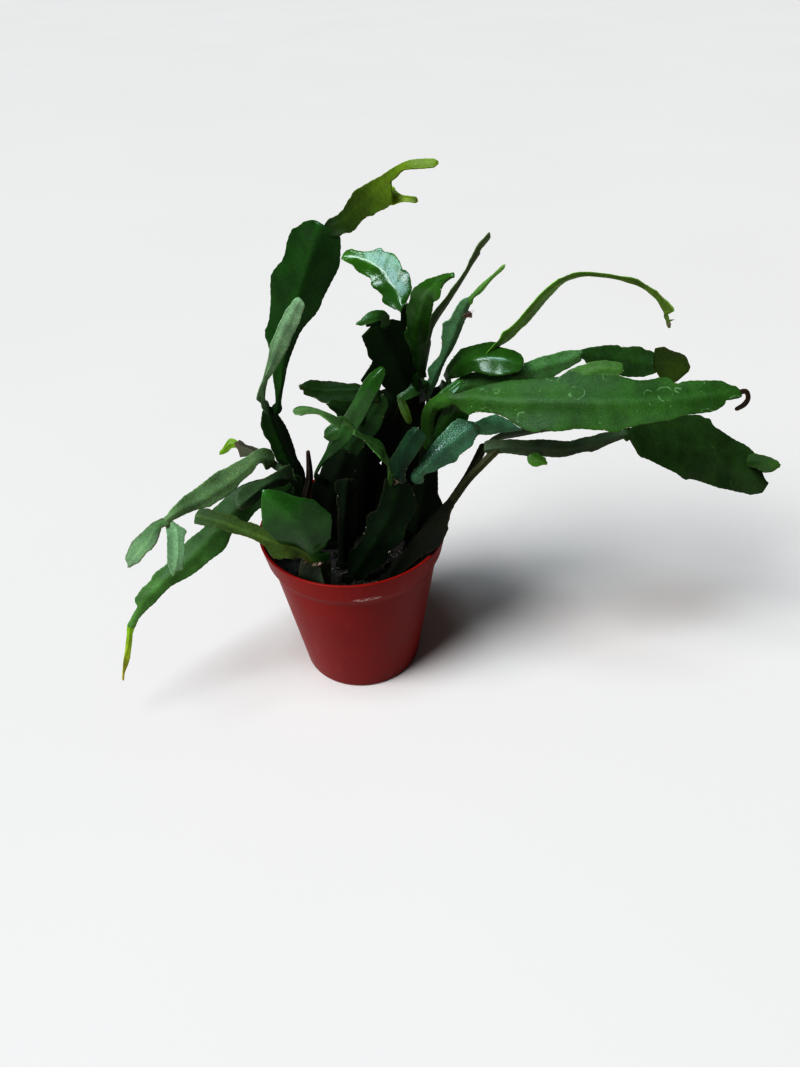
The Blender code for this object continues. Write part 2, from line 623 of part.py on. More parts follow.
def clear_scene():
    for old in list(bpy.data.objects):
        bpy.data.objects.remove(old)


def shade_smooth(made):
    made.data.shade_smooth()
    made.data.set_sharp_from_angle(angle=math.radians(SHARP_ANGLE))


def main():
    clear_scene()
    green, brown = material(*GREEN), material(*BROWN)
    made = [build_pot(material(*RED)), build_soil(material(*EARTH))]
    made += [build_stem(stem, brown if stem.dry else green) for stem in STEMS]
    for each in made:
        shade_smooth(each)


main()
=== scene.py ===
"""The looks of a rhipsalis in a nursery pot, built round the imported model.

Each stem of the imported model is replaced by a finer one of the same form, with rounded edges, veins
and woolly areoles, and so are the pot and the soil. Lengths are in millimetres until new_object.
"""

import json
import math
import random
from dataclasses import dataclass

import bpy
import numpy as np
from mathutils import Matrix, Vector, noise

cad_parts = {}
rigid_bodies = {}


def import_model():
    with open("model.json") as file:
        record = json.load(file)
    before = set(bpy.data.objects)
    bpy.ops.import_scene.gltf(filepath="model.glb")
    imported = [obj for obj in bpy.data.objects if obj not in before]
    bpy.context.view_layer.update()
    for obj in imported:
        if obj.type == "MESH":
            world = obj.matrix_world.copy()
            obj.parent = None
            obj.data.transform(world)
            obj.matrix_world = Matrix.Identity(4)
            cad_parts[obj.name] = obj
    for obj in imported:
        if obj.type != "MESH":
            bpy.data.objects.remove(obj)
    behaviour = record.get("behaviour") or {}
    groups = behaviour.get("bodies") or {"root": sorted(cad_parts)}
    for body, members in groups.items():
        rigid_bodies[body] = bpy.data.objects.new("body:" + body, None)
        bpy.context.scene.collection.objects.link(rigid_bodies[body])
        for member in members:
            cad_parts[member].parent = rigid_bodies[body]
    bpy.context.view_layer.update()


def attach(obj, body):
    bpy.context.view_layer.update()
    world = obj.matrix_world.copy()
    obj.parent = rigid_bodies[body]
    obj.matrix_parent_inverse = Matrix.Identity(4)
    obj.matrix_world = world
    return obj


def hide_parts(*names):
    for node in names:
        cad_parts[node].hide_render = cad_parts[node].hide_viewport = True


for old in list(bpy.data.objects):
    bpy.data.objects.remove(old)
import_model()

MM = 0.001
SEED = 11

# The camera of the photograph: where it stands, how far it looks down and leans, and its lens
CAMERA_PLACE = (22.5, -304.75, 316.0)
CAMERA_DOWN = 38.3
CAMERA_LEAN = -2.6
FRAME_WIDTH = 800
FRAME_HEIGHT = 1067
FOCAL_PIXELS = 800.0
PIXELS_PER_MM = 2.3
SENSOR = 36.0

# Lights: the side they shine from, how wide they look in degrees, their strength and colour
WINDOW = ((-0.72, -0.42, 0.96), 32.0, 3.7, (0.82, 0.95, 1.0))
SKY = ((-0.21, -0.21, 1.20), 22.0, 1.4, (0.62, 0.88, 1.0))
ROOM_COLOUR = (0.9, 0.93, 0.96, 1.0)
ROOM_STRENGTH = 0.09
FLOOR_REACH = 6.0

# Pot
POT_RADIUS = 45.0
POT_HEIGHT = 82.5
FOOT_RADIUS = 29.8
BODY_TOP_RADIUS = 40.2
WALL = 1.5
FLOOR_TOP = 2.0
COLLAR_HEIGHT = 14.5
CENTRE_RADIUS = 6.0
CORNER_CUT = 1.6
DRAIN_RADIUS = 3.2
DRAIN_CIRCLE = 17.0
DRAIN_COUNT = 6
DRAIN_SIDES = 40
POT_SIDES = 160

# The collar's step, as radius and height above the collar's foot
COLLAR_FOOT = POT_HEIGHT - COLLAR_HEIGHT
COLLAR_STEPS = ((BODY_TOP_RADIUS, -1.8), (40.7, 0.0), (42.3, 2.1), (42.9, 3.5))

# Soil
SOIL_TOP = 67.5
SOIL_WALL_TOP = 64.5
SOIL_RADIUS = 38.2
SOIL_GAP = 0.4
SOIL_CROWN = 0.8
SOIL_RELIEF = 0.5
SOIL_WAVES = ((0.31, 0.27, 0.5, 1.0), (0.53, -0.41, 0.0, 0.6))
SOIL_RINGS = 64
SOIL_SIDES = 200
CRUMBS = 520
HAIRS = 34
HAIR_RADIUS = 0.11
HAIR_STEP = 0.9

# The buried foot of each stem: its thickness, and the share of its width at each height
ROOT_THICKNESS = 4.4
ROOT_LEVELS = ((55.0, 0.8), (57.0, 1.0), (68.0, 1.0), (69.8, 0.95), (71.0, 0.85), (71.5, 0.7))
ROOT_SIDES = 28

# Pads: half thicknesses in millimetres, and how finely they are divided
LAMINA = 0.52
EDGE = 0.30
RIB_SHARE = 0.43
LEAST_HALF = 0.3
RAGGED = 0.07
SWELL = 0.05
FOLD_ROUND = 5.0
RING_STEP = 0.6
LEAST_RINGS = 18
CROWDING = 0.15
SPINE_SAMPLES = 600
SPINE_NEAR = 0.02
WIDE_COLUMNS = 15
NARROW_COLUMNS = 9
NARROW = 9.0
EDGE_ANGLES = (30, 60, 90, 120, 150)
NOTCH_POWER = 1.5
VEIN_SLANT = 0.45
VEIN_WIDTH = 0.45
QUILT_WIDTH = 1.7
QUILT_DEPTH = 0.17
NOTCH_REACH = 2.4
NOTCH_DIP = 0.16
FIRST_NOTCH = 0.05
LAST_NOTCH = 0.97
TIP_SHARE = 0.995
SHARP_ANGLE = 50.0
POT_SHARP_ANGLE = 40.0
VIEWED_FROM = (0.0, -0.78, 0.62)

# Following an outline: the farthest it may lie, in nominal half widths, how much of a half width has to
# be seen, how long an end is rounded, and how often the rings beside a gap are smoothed
WIDEST_REACH = 2.4
LEAST_SEEN = 0.25
END_RADIUS = 1.3
BLEND_ROUNDS = 4

# The light is cool daylight, so the colours listed for the pads are warmed by this much
WARMED = (1.16, 1.03, 0.98)

# Gloss: how strongly the pads and the pot reflect under their gloss coat, the coat itself, and the
# roughness of the pads that have all of it and none of it
UNDER_GLOSS = 0.14
COAT_ROUGHNESS = 0.15
COAT_IOR = 1.36
COATED = (0.22, 0.42)

# Colours. Where there are two, the material varies between them.
DUST = (0.15, 0.21, 0.13)
SPECK = (0.42, 0.50, 0.36)
DRIED_WATER = (0.30, 0.42, 0.24)
BROWNED = (0.075, 0.042, 0.026)
POT_REDS = ((0.176, 0.0064, 0.0042), (0.210, 0.0088, 0.0058))
POT_STREAK = (0.36, 0.10, 0.085)
POT_FOOT_DIRT = (0.11, 0.03, 0.022)
SCUFF = (0.52, 0.40, 0.38)
SMUDGE = (0.045, 0.008, 0.006)
SOILED = (0.03, 0.02, 0.015)
PEATS = ((0.006, 0.004, 0.0025), (0.022, 0.013, 0.008))
PEAT_BIT = (0.085, 0.052, 0.030)
HAIR_TANS = ((0.12, 0.080, 0.050), (0.36, 0.28, 0.19))
WOOLS = ((0.13, 0.080, 0.045), (0.34, 0.30, 0.20))
CORKS = ((0.055, 0.032, 0.022), (0.30, 0.19, 0.14))
TORN_CORK = (0.46, 0.36, 0.29)
FLOOR_TONES = ((0.570, 0.467, 0.434), (0.592, 0.487, 0.454))


@dataclass
class Look:
    """How a pad is coloured. root and tip are its colours at its two ends.

    rough is its roughness. The rest go from 0 to 1: dust on it, a brown or a pale rim, a paler midrib
    and veins, dried water rings, a grainy skin, and how much wool its areoles have.
    """

    root: tuple
    tip: tuple
    rough: float = 0.4
    dust: float = 0.04
    rim: float = 0.1
    pale: float = 0.3
    vein: float = 0.3
    rings: float = 0.0
    grain: float = 0.3
    wool: float = 0.6


# The numbers after the two colours are rough, dust, rim, pale, vein, rings, grain and wool
LOOKS = {
    "folded": Look((0.006, 0.026, 0.0025), (0.009, 0.042, 0.004), 0.6, wool=0.5),
    "grey": Look((0.110, 0.215, 0.105), (0.170, 0.290, 0.170), 0.6, 0.5, 0.5, 0.5, 0.15, 0, 0.8, 1.0),
    "deep": Look((0.0095, 0.043, 0.0045), (0.0085, 0.040, 0.004), 0.38, 0.02, 0.0, 0.3, 1.0, 0, 0.2, 0.2),
    # This look's dark root is painted shade, where the forked pad's lower half turns from the light; its lime
    # tip is its own colour
    "young": Look((0.006, 0.018, 0.002), (0.105, 0.165, 0.010), 0.45, 0.0, 0.0, 0.5, 0.35, 0, 0.2, 0.1),
    # This look's bright root is painted light, laid over the shadow that the forked pad casts on the prong
    "prong": Look((0.30, 0.44, 0.03), (0.050, 0.088, 0.008), 0.45, 0.0, 0.0, 0.5, 0.1, 0, 0.2, 0.1),
    "shade_leaf": Look((0.010, 0.030, 0.007), (0.016, 0.044, 0.010), 0.45, 0.05),
    "bark_shoot": Look((0.025, 0.050, 0.018), (0.060, 0.045, 0.034), 0.65, 0.2, 0.5, 0.2, 0.2, 0, 0.8, 0.8),
    "lime": Look((0.120, 0.210, 0.018), (0.100, 0.200, 0.014), 0.4, 0.0, 0.0, 0.4, 0.2, 0, 0.2, 0.1),
    "dusty": Look((0.096, 0.160, 0.062), (0.112, 0.188, 0.080), 0.62, 0.6, 0.1, 0.3, 0.15, 0, 1.0, 0.3),
    "pale_end": Look((0.055, 0.115, 0.040), (0.115, 0.190, 0.095), 0.5, 0.2, 0.8, 0.5, 0.5, 0, 0.5, 0.8),
    "pale": Look((0.153, 0.270, 0.145), (0.185, 0.325, 0.175), 0.45, 0.1, 0.1, 0.6, 0.6, 0, 0.3, 0.4),
    "short_dull": Look((0.026, 0.052, 0.018), (0.045, 0.080, 0.034), 0.55, 0.2, 0.4, 0.4, 0.2, 0, 0.6, 0.7),
    # This look's near-black root is painted shade, under the short pad in front; its tip colour is its own
    "long_shaded_root": Look((0.006, 0.020, 0.003), (0.064, 0.150, 0.036), 0.45, 0.0, 0.0, 0.2, 0.25, 0, 0.3, 0.3),
    "lime_tip": Look((0.125, 0.240, 0.010), (0.250, 0.220, 0.032), 0.42, 0.0, 0.0, 0.2, 0.1, 0, 0.2, 0.0),
    # This look's colours are painted light, lighter than the stub's own to make up for the shade it stands in
    "stub": Look((0.050, 0.080, 0.044), (0.100, 0.115, 0.078), 0.7, 0.3, 0.7, 0.2, 0.3, 0, 1.0, 0.8),
    "strap": Look((0.054, 0.083, 0.014), (0.030, 0.056, 0.015), 0.5, 0.15, 0.2, 0.4, 1.0, 0, 0.5, 0.3),
    "shiny": Look((0.014, 0.060, 0.008), (0.021, 0.080, 0.012), 0.30, 0.0, 0.0, 0.3, 0.3, 0, 0.3, 0.2),
    "old": Look((0.002, 0.008, 0.001), (0.003, 0.012, 0.0015), 0.7, 0.02, 0.3, 0.3, 1.0, 0, 0.9, 0.6),
    "oldest": Look((0.003, 0.007, 0.002), (0.005, 0.011, 0.003), 0.85, 0.0, 0.4, 0.1, 0.1, 0, 0.9, 0.4),
    "brown_old": Look((0.003, 0.004, 0.001), (0.007, 0.008, 0.003), 0.8, 0.0, 0.4, 0.1, 0.1, 0, 0.9, 0.6),
    "blue_dark": Look((0.006, 0.026, 0.010), (0.010, 0.038, 0.016), 0.36, 0.05, 0.3, 0.3, 0.1, 0, 0.9, 0.7),
    "blue": Look((0.032, 0.092, 0.046), (0.048, 0.122, 0.072), 0.31, 0.1, 0.2, 0.3, 0.2, 0, 1.0, 0.8),
    # This look is a lighter copy of blue, painted light to make up for the shade its pad lies in
    "blue_painted_light": Look((0.090, 0.220, 0.115), (0.130, 0.290, 0.170), 0.36, 0.1, 0.2, 0.3, 0.2, 0, 1.0, 0.8),
    "thin_bright": Look((0.028, 0.092, 0.012), (0.070, 0.128, 0.046), 0.38, 0.05, 0.0, 0.4, 0.3),
    "glossy": Look((0.008, 0.038, 0.005), (0.020, 0.070, 0.010), 0.29, 0.0, 0.0, 0.5, 0.3, 0, 0.1, 0.1),
    "blunt": Look((0.006, 0.022, 0.003), (0.014, 0.036, 0.005), 0.55, 0.0, 0.5, 0.5, 0.2),
    "shade": Look((0.004, 0.020, 0.002), (0.006, 0.027, 0.003), 0.6, 0.0, 0.2, 0.1, 0.1),
    "side_shoot": Look((0.016, 0.052, 0.010), (0.034, 0.085, 0.022), 0.35, 0.0, 0.0, 0.5, 0.2),
    "wet": Look((0.018, 0.068, 0.010), (0.034, 0.110, 0.010), 0.2, 0.0, 0.0, 0.5, 0.3, 0, 0.15, 0.2),
    "upright": Look((0.003, 0.016, 0.002), (0.022, 0.078, 0.006), 0.33, 0.0, 0.0, 0.4, 0.3, 0, 0.2, 0.2),
    "thin_dull": Look((0.042, 0.085, 0.028), (0.100, 0.150, 0.058), 0.5, 0.1, 0.2, 0.3, 0.1),
    "dull": Look((0.054, 0.131, 0.061), (0.088, 0.197, 0.094), 0.40, 0.15, 0.4, 0.4, 0.2, 0, 0.6, 0.7),
    "pale_tip": Look((0.075, 0.185, 0.040), (0.120, 0.230, 0.055), 0.45, 0.1, 0.1, 0.4, 0.2),
    "broad": Look((0.024, 0.070, 0.009), (0.021, 0.064, 0.009), 0.45, 0.08, 0.1, 0.2, 0.35, 0.9, 0.4, 0.3),
    "lobe": Look((0.046, 0.110, 0.022), (0.051, 0.115, 0.025), 0.45, 0.08, 0.1, 0.3, 0.2, 0.5, 0.4, 0.3),
    "dry_spike": Look((0.030, 0.024, 0.018), (0.070, 0.050, 0.040), 0.8, 0.1, 0.5, 0.2, 0.2, 0, 1.0, 0.0),
    "dead": Look((0.018, 0.011, 0.008), (0.014, 0.008, 0.006), 0.85, 0.05, 0.9, 0.0, 0.1, 0, 1.0, 0.0),
    "domed": Look((0.018, 0.056, 0.008), (0.026, 0.085, 0.011), 0.26, 0.0, 0.0, 0.3, 0.3, 0, 0.1, 0.1),
    "arching": Look((0.100, 0.240, 0.028), (0.070, 0.110, 0.018), 0.4, 0.05, 0.1, 0.6, 0.3),
    "dusty_green": Look((0.045, 0.118, 0.030), (0.055, 0.138, 0.042), 0.5, 0.3, 0.1, 0.3, 0.2, 0.2, 1.0, 0.4),
    "spotted": Look((0.015, 0.045, 0.008), (0.014, 0.042, 0.007), 0.4, 0.1, 0.2, 0.2, 0.2, 0.6, 0.5, 0.4),
    "olive": Look((0.014, 0.026, 0.001), (0.016, 0.028, 0.001), 0.8, 0.0, 0.4, 0.2, 0.2, 0, 0.5, 0.5),
    "stalk": Look((0.023, 0.025, 0.009), (0.036, 0.040, 0.016), 0.6, 0.05, 0.4, 0.1, 0.1, 0, 0.8, 0.5),
    "thin_dark": Look((0.040, 0.062, 0.031), (0.052, 0.085, 0.042), 0.48, 0.2, 0.3, 0.3, 0.2, 0, 0.6, 0.6),
    "bud": Look((0.025, 0.055, 0.006), (0.045, 0.080, 0.007), 0.5, 0.0, 0.2),
    "fresh": Look((0.045, 0.120, 0.018), (0.045, 0.115, 0.016), 0.4, 0.0, 0.0, 0.5, 0.3),
    "broad_dark": Look((0.022, 0.052, 0.011), (0.019, 0.044, 0.010), 0.4, 0.05, 0.1, 0.3, 0.2, 0.2, 0.4, 0.4),
    "end_green": Look((0.014, 0.045, 0.004), (0.022, 0.055, 0.005), 0.6, 0.0, 0.3, 0.4, 0.2),
}


@dataclass
class Pad:
    """One flat stem pad. points are (x, y, z, width) from its root to its tip.

    turn is how far its face is turned about its spine at root and tip, in degrees from VIEWED_FROM.
    fold lifts the two edges towards the face, as a share of the half width. A negative one drops them.
    teeth are the notches on each side, and tooth is their depth. rib is the thickness along the middle.
    """

    points: tuple
    turn: tuple = (0, 0)
    fold: float = 0.0
    teeth: int = 0
    tooth: float = 0.0
    rib: float = 2.8
    look: str = "deep"


@dataclass
class Stem:
    """A stem with all its pads, rooted in the soil at root (x, y), as packed."""

    name: str
    root: tuple
    root_width: float
    root_turn: float
    pads: tuple
    dry: bool = False


STEMS = (
    Stem("tall_arch_stem", root=(-23, 12), root_width=9, root_turn=20, pads=(
        # The folded pad at its foot
        Pad(((-23, 12, 70, 9), (-26, 12, 97, 10), (-27, 12, 107, 12), (-30, 12, 118, 12),
             (-32, 11, 130, 11), (-33, 8, 143, 7)),
            turn=(20, 20), fold=-0.45, teeth=3, tooth=1.0, rib=4.0, look="folded"),
        # The slim dull pad that leans forward
        Pad(((-33, 8, 140, 4), (-34, 6, 147, 4), (-32, 0, 160, 5), (-26, -8, 173, 8),
             (-19, -16, 188, 9), (-11, -24, 203, 8), (-9.8, -25.4, 205.4, 6)),
            turn=(45, 10), teeth=5, tooth=0.6, rib=2.2, look="grey"),
        # The tall wavy pad
        Pad(((-31, 9, 139, 4.5), (-26, 8, 153, 5), (-23, 8, 169, 12), (-18, 8, 184, 19.5),
             (-13, 7, 197, 25), (-7, 5, 211, 24.5), (-2, 2, 223, 14.5)),
            turn=(15, -5), fold=-0.25, teeth=4, tooth=1.0, look="deep"),
        # The forked young pad at the top, its root darkened as painted shade
        Pad(((-1, 2, 220, 4), (6, 1, 223, 9.5), (13, -2, 229, 14.5), (20, -5.2, 236, 14.5),
             (25.6, -10, 242, 6), (31.4, -14.5, 245.6, 3.5), (41, -18, 247, 3)),
            turn=(15, 0), fold=0.3, teeth=2, tooth=0.5, rib=2.0, look="young"),
        # The fork's lower prong, its root painted light over the forked pad's shadow
        Pad(((22, -6, 234.6, 7), (27, -8.2, 233.6, 4), (34, -12, 233, 2.4)), rib=1.8, look="prong"),
    )),
    Stem("left_spray_stem", root=(-30, -4), root_width=8, root_turn=30, pads=(
        # The bare stem over the rim
        Pad(((-30, -4, 70, 8), (-28, -5, 92, 10), (-24, -4, 115, 9)),
            turn=(40, 30), rib=3.6, look="shade_leaf"),
        # The short shoot that points back
        Pad(((-25, -3, 114, 6), (-36, 6, 117, 6.5), (-45, 14, 117, 5.5), (-54, 22, 117, 4.5)),
            turn=(30, 30), teeth=2, tooth=0.4, rib=3.0, look="bark_shoot"),
        # Its young tip
        Pad(((-52, 22, 117, 3.5), (-57, 22, 116, 4.5), (-62, 22, 111, 2.5)), rib=1.8, look="lime"),
        # The dusty pad
        Pad(((-33, 3, 118.5, 8), (-38, -2, 122.5, 10.5), (-43, -7, 122, 11.5), (-52, -16, 119.5, 13),
             (-62, -26, 118.5, 10.5), (-69, -33, 119, 6.5), (-75, -38, 118, 3.5)),
            turn=(0, -15), teeth=3, tooth=0.6, look="dusty"),
        # The pale end pad
        Pad(((-73, -37, 117, 3), (-78, -41, 116, 6.5), (-81, -46, 113, 9.5), (-85, -50, 110, 9),
             (-89, -54, 107, 4.5)),
            turn=(10, 25), fold=0.15, teeth=2, tooth=0.4, rib=2.0, look="pale_end"),
        # The pale hanging pad
        Pad(((-73, -37, 117, 3), (-71, -39, 113, 7.5), (-71, -43, 107, 8.5), (-72, -46, 102, 6),
             (-74, -48, 96, 3)),
            turn=(-15, -25), teeth=2, tooth=1.2, rib=2.0, look="pale"),
        # The short pad in front
        Pad(((-23, -5, 112, 6), (-29, -16, 121, 7.5), (-36, -26, 123, 8.5), (-44, -37, 122, 7)),
            turn=(0, -20), fold=-0.3, teeth=2, tooth=0.5, rib=3.2, look="short_dull"),
        # The long drooping pad, with painted shade at its root under the short pad in front
        Pad(((-25, -4, 111, 6.8), (-39, -7, 109, 12), (-50, -10, 103, 15), (-61, -14, 93, 17),
             (-71, -18, 84, 14.5), (-81, -22, 77, 11.5), (-90, -26, 71, 9.5), (-99, -30, 64, 7),
             (-106, -34, 53, 4)),
            turn=(10, -10), fold=-0.1, teeth=5, tooth=0.9, look="long_shaded_root"),
        # Its young tip
        Pad(((-105, -33, 56, 3.5), (-108, -37, 45, 4), (-111, -40, 38, 4.4), (-114, -42, 26, 3.4)),
            rib=2.2, look="lime_tip"),
    )),
    Stem("front_stub_stem", root=(-13, -30), root_width=8, root_turn=0, pads=(
        # The cut-off stem, its colour painted lighter to make up for the shade it stands in
        Pad(((-13, -30, 70, 10), (-14, -32, 89, 10)), fold=-0.2, rib=4.5, look="stub"),
        # The long channelled strap
        Pad(((-13, -32, 86, 6), (-21, -35, 97, 8.5), (-29, -37, 102, 10.5), (-40, -37, 108, 9),
             (-52, -36, 114, 7.5), (-63, -34, 117, 5.5)),
            turn=(-10, 10), fold=0.3, teeth=4, tooth=0.5, look="strap"),
        # The broad shiny pad
        Pad(((-14, -32, 84, 6), (-17, -37, 104, 24), (-23, -39, 119, 22), (-32.6, -37, 130.4, 6)),
            turn=(-10, 0), fold=-0.2, teeth=3, tooth=0.6, look="shiny"),
    )),
    Stem("front_notched_stem", root=(-1, -24), root_width=10, root_turn=0, pads=(
        # The broad notched pad
        Pad(((-1, -24, 70, 11), (10, -23, 88, 18), (19, -21, 105, 20), (23, -20, 121, 15)),
            turn=(0, 5), fold=-0.1, teeth=4, tooth=2.0, rib=4.0, look="old"),
        # The blunt pad on its top
        Pad(((23, -20, 118.5, 5), (26, -20, 135, 10), (32, -20, 146, 8)),
            turn=(-20, -10), fold=-0.2, teeth=2, tooth=0.6, rib=3.2, look="blue_dark"),
        # The grainy pad that leans right
        Pad(((29, -20, 119, 6), (33, -20, 124, 8), (41, -18, 132, 14.4), (49, -15, 137, 16),
             (56, -12, 142, 8)),
            turn=(0, 15), fold=-0.15, teeth=4, tooth=0.9, rib=3.0, look="blue"),
        # The thin strap that leans left
        Pad(((20, -21.5, 119, 3), (18, -27, 138, 6), (12, -31, 147, 6.5), (3, -34, 158, 5.5),
             (-7, -36, 165, 5.5), (-16, -37, 166, 4)),
            turn=(50, 45), teeth=3, tooth=0.3, rib=2.0, look="thin_bright"),
        # The grainy pad at the right end, painted lighter to make up for the shade it lies in
        Pad(((52, -13, 139, 4), (64, -7, 138, 9), (78, -2, 132, 4.6)),
            turn=(0, -10), fold=-0.1, teeth=2, tooth=0.4, rib=2.4, look="blue_painted_light"),
    )),
    Stem("narrow_front_stem", root=(-5, -14), root_width=8, root_turn=0, pads=(
        # The narrow dark pad
        Pad(((-5, -14, 70, 9), (-3, -14, 94, 11), (0, -12, 117, 9)),
            turn=(0, 20), fold=-0.2, teeth=3, tooth=0.7, rib=4.2, look="oldest"),
    )),
    Stem("left_centre_stem", root=(-12, 2), root_width=12, root_turn=0, pads=(
        # The dark pad at its foot
        Pad(((-12, 2, 70, 14), (-9, 2, 96, 20), (0, 3, 123, 12)),
            fold=-0.1, teeth=3, tooth=1.2, rib=4.0, look="oldest"),
        # The pad on its top
        Pad(((-1, 3, 119, 8), (10, 5, 136, 13), (18, 4, 149, 8)),
            fold=-0.1, teeth=2, tooth=0.8, rib=3.2, look="shade_leaf"),
        # The glossy leaning pad
        Pad(((-11, 3, 104, 3.4), (-14, -4, 115, 3.6), (-7, -9, 129, 8), (3, -13, 147, 14),
             (12, -15, 163, 12.5), (19, -14, 171, 6)),
            turn=(-20, -20), fold=-0.2, teeth=3, tooth=0.8, look="glossy"),
        # A side lobe of that pad
        Pad(((3, -11.6, 142.6, 3), (-3, -11.2, 140.6, 7), (-8, -10.6, 137.8, 4)),
            turn=(-10, -10), rib=2.2, look="side_shoot"),
        # The blunt pad that points left
        Pad(((17, 3, 147, 5), (11, 5, 151, 7), (2, 6, 151, 9.5), (-8, 6, 151, 10), (-18, 6, 154, 5)),
            turn=(10, 10), fold=-0.1, teeth=3, tooth=0.8, look="blunt"),
        # The small pad under it
        Pad(((10, 5, 135, 4), (3, 0, 143, 9), (-6, -3, 150, 4)),
            turn=(-10, -10), fold=-0.1, teeth=2, tooth=0.6, rib=2.6, look="shade_leaf"),
    )),
    Stem("old_centre_stem", root=(4, 13), root_width=9, root_turn=10, pads=(
        # The old pad in the shade
        Pad(((4, 13, 70, 10), (6, 14, 88, 17), (8, 13.5, 112, 17.5)),
            turn=(-15, -10), fold=-0.15, teeth=2, tooth=1.4, rib=4.4, look="oldest"),
        # The dark pad on its top
        Pad(((7, 13, 108, 14), (14, 15, 125, 19), (24, 18, 143, 14)),
            fold=-0.1, rib=3.0, look="oldest"),
    )),
    Stem("centre_stem", root=(20, 9), root_width=12, root_turn=0, pads=(
        # The dark pad at its foot
        Pad(((20, 9, 70, 13), (25, 9, 101, 15), (32, 11, 146, 10)),
            fold=-0.1, teeth=4, tooth=1.0, rib=4.2, look="oldest"),
        # The dark pad on its top
        Pad(((30, 10, 141, 8.8), (23, 6, 164, 20), (19, 3, 177, 21.5), (15, 1, 186, 12)),
            turn=(5, 10), fold=-0.1, teeth=2, tooth=0.7, rib=3.0, look="shade"),
        # The small sharp side shoot
        Pad(((21, 3, 180, 4), (18, -2, 187, 6), (9, -6, 186, 2.2)), rib=2.0, look="side_shoot"),
        # The stalk of the glossy pad
        Pad(((31, 12, 142, 6.2), (30, 13, 166, 7.4), (29, 7, 188, 5)),
            turn=(30, 30), teeth=2, tooth=0.5, rib=3.0, look="shade"),
        # The glossy scalloped pad
        Pad(((29, 8, 183, 4), (27, 13, 188, 10), (24, 18, 192, 16), (20, 24, 196, 16),
             (13, 29, 199, 12), (3, 33, 198.5, 4)),
            turn=(-19, -3), fold=-0.1, teeth=4, tooth=1.5, rib=2.4, look="wet"),
        # The upright pad
        Pad(((33, 11, 140, 5), (34, 2, 165, 6), (33, -3, 177, 10), (34, -9, 189, 12),
             (37, -15, 200, 10.5), (41, -20, 206, 6.5), (46, -24, 211, 3)),
            turn=(-10, -20), fold=-0.15, teeth=4, tooth=1.0, look="upright"),
        # The thin blade that points up
        Pad(((33, 11, 141, 5), (41, 21.4, 173.2, 6), (52, 29, 186, 6), (66, 38, 205, 3)),
            turn=(66, 66), teeth=4, tooth=0.4, rib=1.8, look="thin_dull"),
        # The pad with a long tip
        Pad(((34, 11, 141, 5), (43, 13, 157, 8.5), (47, 14, 166, 11), (52, 13, 180, 8),
             (55, 13, 187, 4)),
            turn=(20, 30), fold=-0.2, teeth=3, tooth=0.9, rib=2.4, look="dull"),
        # Its long tip
        Pad(((54, 13, 184, 3), (59, 12, 190, 3.5), (64, 11, 196, 4), (69, 10, 201, 2.5)),
            turn=(15, 0), teeth=2, tooth=0.3, rib=2.0, look="pale_tip"),
        # The small pad at the foot of the one with a long tip
        Pad(((38, 11, 150, 3), (31, 8, 149, 7), (24, 6, 145, 3.5)), rib=2.2, look="side_shoot"),
        # The young bud that hangs from it
        Pad(((25, 6, 146, 3), (27, 2, 142, 4), (29, -2, 137.5, 2.5)), rib=1.8, look="bud"),
    )),
    Stem("right_main_stem", root=(28, -3), root_width=9, root_turn=0, pads=(
        # The dark pad at its foot
        Pad(((28, -3, 70, 9.9), (34, -2, 96, 11.2), (38, -4, 128, 8)),
            turn=(0, -20), fold=-0.1, teeth=3, tooth=0.8, rib=4.0, look="oldest"),
        # The longest and widest pad
        Pad(((37, -3, 124, 6), (38, -5, 146, 6), (47, -11, 154, 7), (59, -15, 155, 11),
             (70, -20, 156, 15.5), (83, -24, 158, 22), (97, -28, 159, 23), (109, -31, 160, 22),
             (122, -33, 161, 18), (135, -34, 162, 15), (147, -34, 163, 11), (156, -34, 163, 5.5)),
            turn=(5, -15), fold=-0.1, teeth=6, tooth=0.9, rib=3.2, look="broad"),
        # A side lobe of that pad
        Pad(((92, -19.8, 162.2, 4), (103, -19.3, 168.4, 8.5), (113, -21.3, 168.4, 5)), rib=2.0, look="lobe"),
        # Its dried curl
        Pad(((152, -34, 162, 2), (157, -34, 164, 2), (159, -34, 161, 2), (158, -34, 158, 2),
             (155, -34, 156, 1.5)),
            rib=1.6, look="dead"),
        # The small pad beside its stalk
        Pad(((38, -5, 143, 4), (44, 0, 149, 6), (52, 4, 154, 3)),
            turn=(-20, -20), fold=0.2, rib=2.0, look="domed"),
        # The short broad pad behind its stalk
        Pad(((38, -4, 126, 8), (43, -5, 137, 14), (47, -7, 146, 15), (49, -8, 153, 10)),
            turn=(0, -10), fold=-0.15, rib=2.6, look="upright"),
    )),
    Stem("back_right_stem", root=(25, 21), root_width=9, root_turn=0, pads=(
        # The dark pad at its foot
        Pad(((25, 21, 70, 10.4), (36, 21, 104, 11.6), (44, 18, 144, 9)),
            turn=(20, 0), fold=-0.1, teeth=4, tooth=0.9, rib=4.0, look="oldest"),
        # The domed pad
        Pad(((43, 18, 140, 5), (50, 14, 154, 13), (59, 10, 161, 16), (69, 7, 162, 14),
             (78, 4, 160, 6)),
            turn=(-20, -20), fold=-0.3, teeth=3, tooth=0.6, rib=2.0, look="domed"),
        # The thin arching strap
        Pad(((62, 10, 161, 3.5), (78, 18, 174, 5), (90, 24, 184, 5), (102, 29, 188, 5),
             (118, 31, 186, 5.5), (133, 30, 181, 5.5), (141, 25, 174, 5), (144, 21, 166, 3)),
            turn=(60, 75), teeth=5, tooth=0.3, rib=1.8, look="arching"),
        # The dusty pad
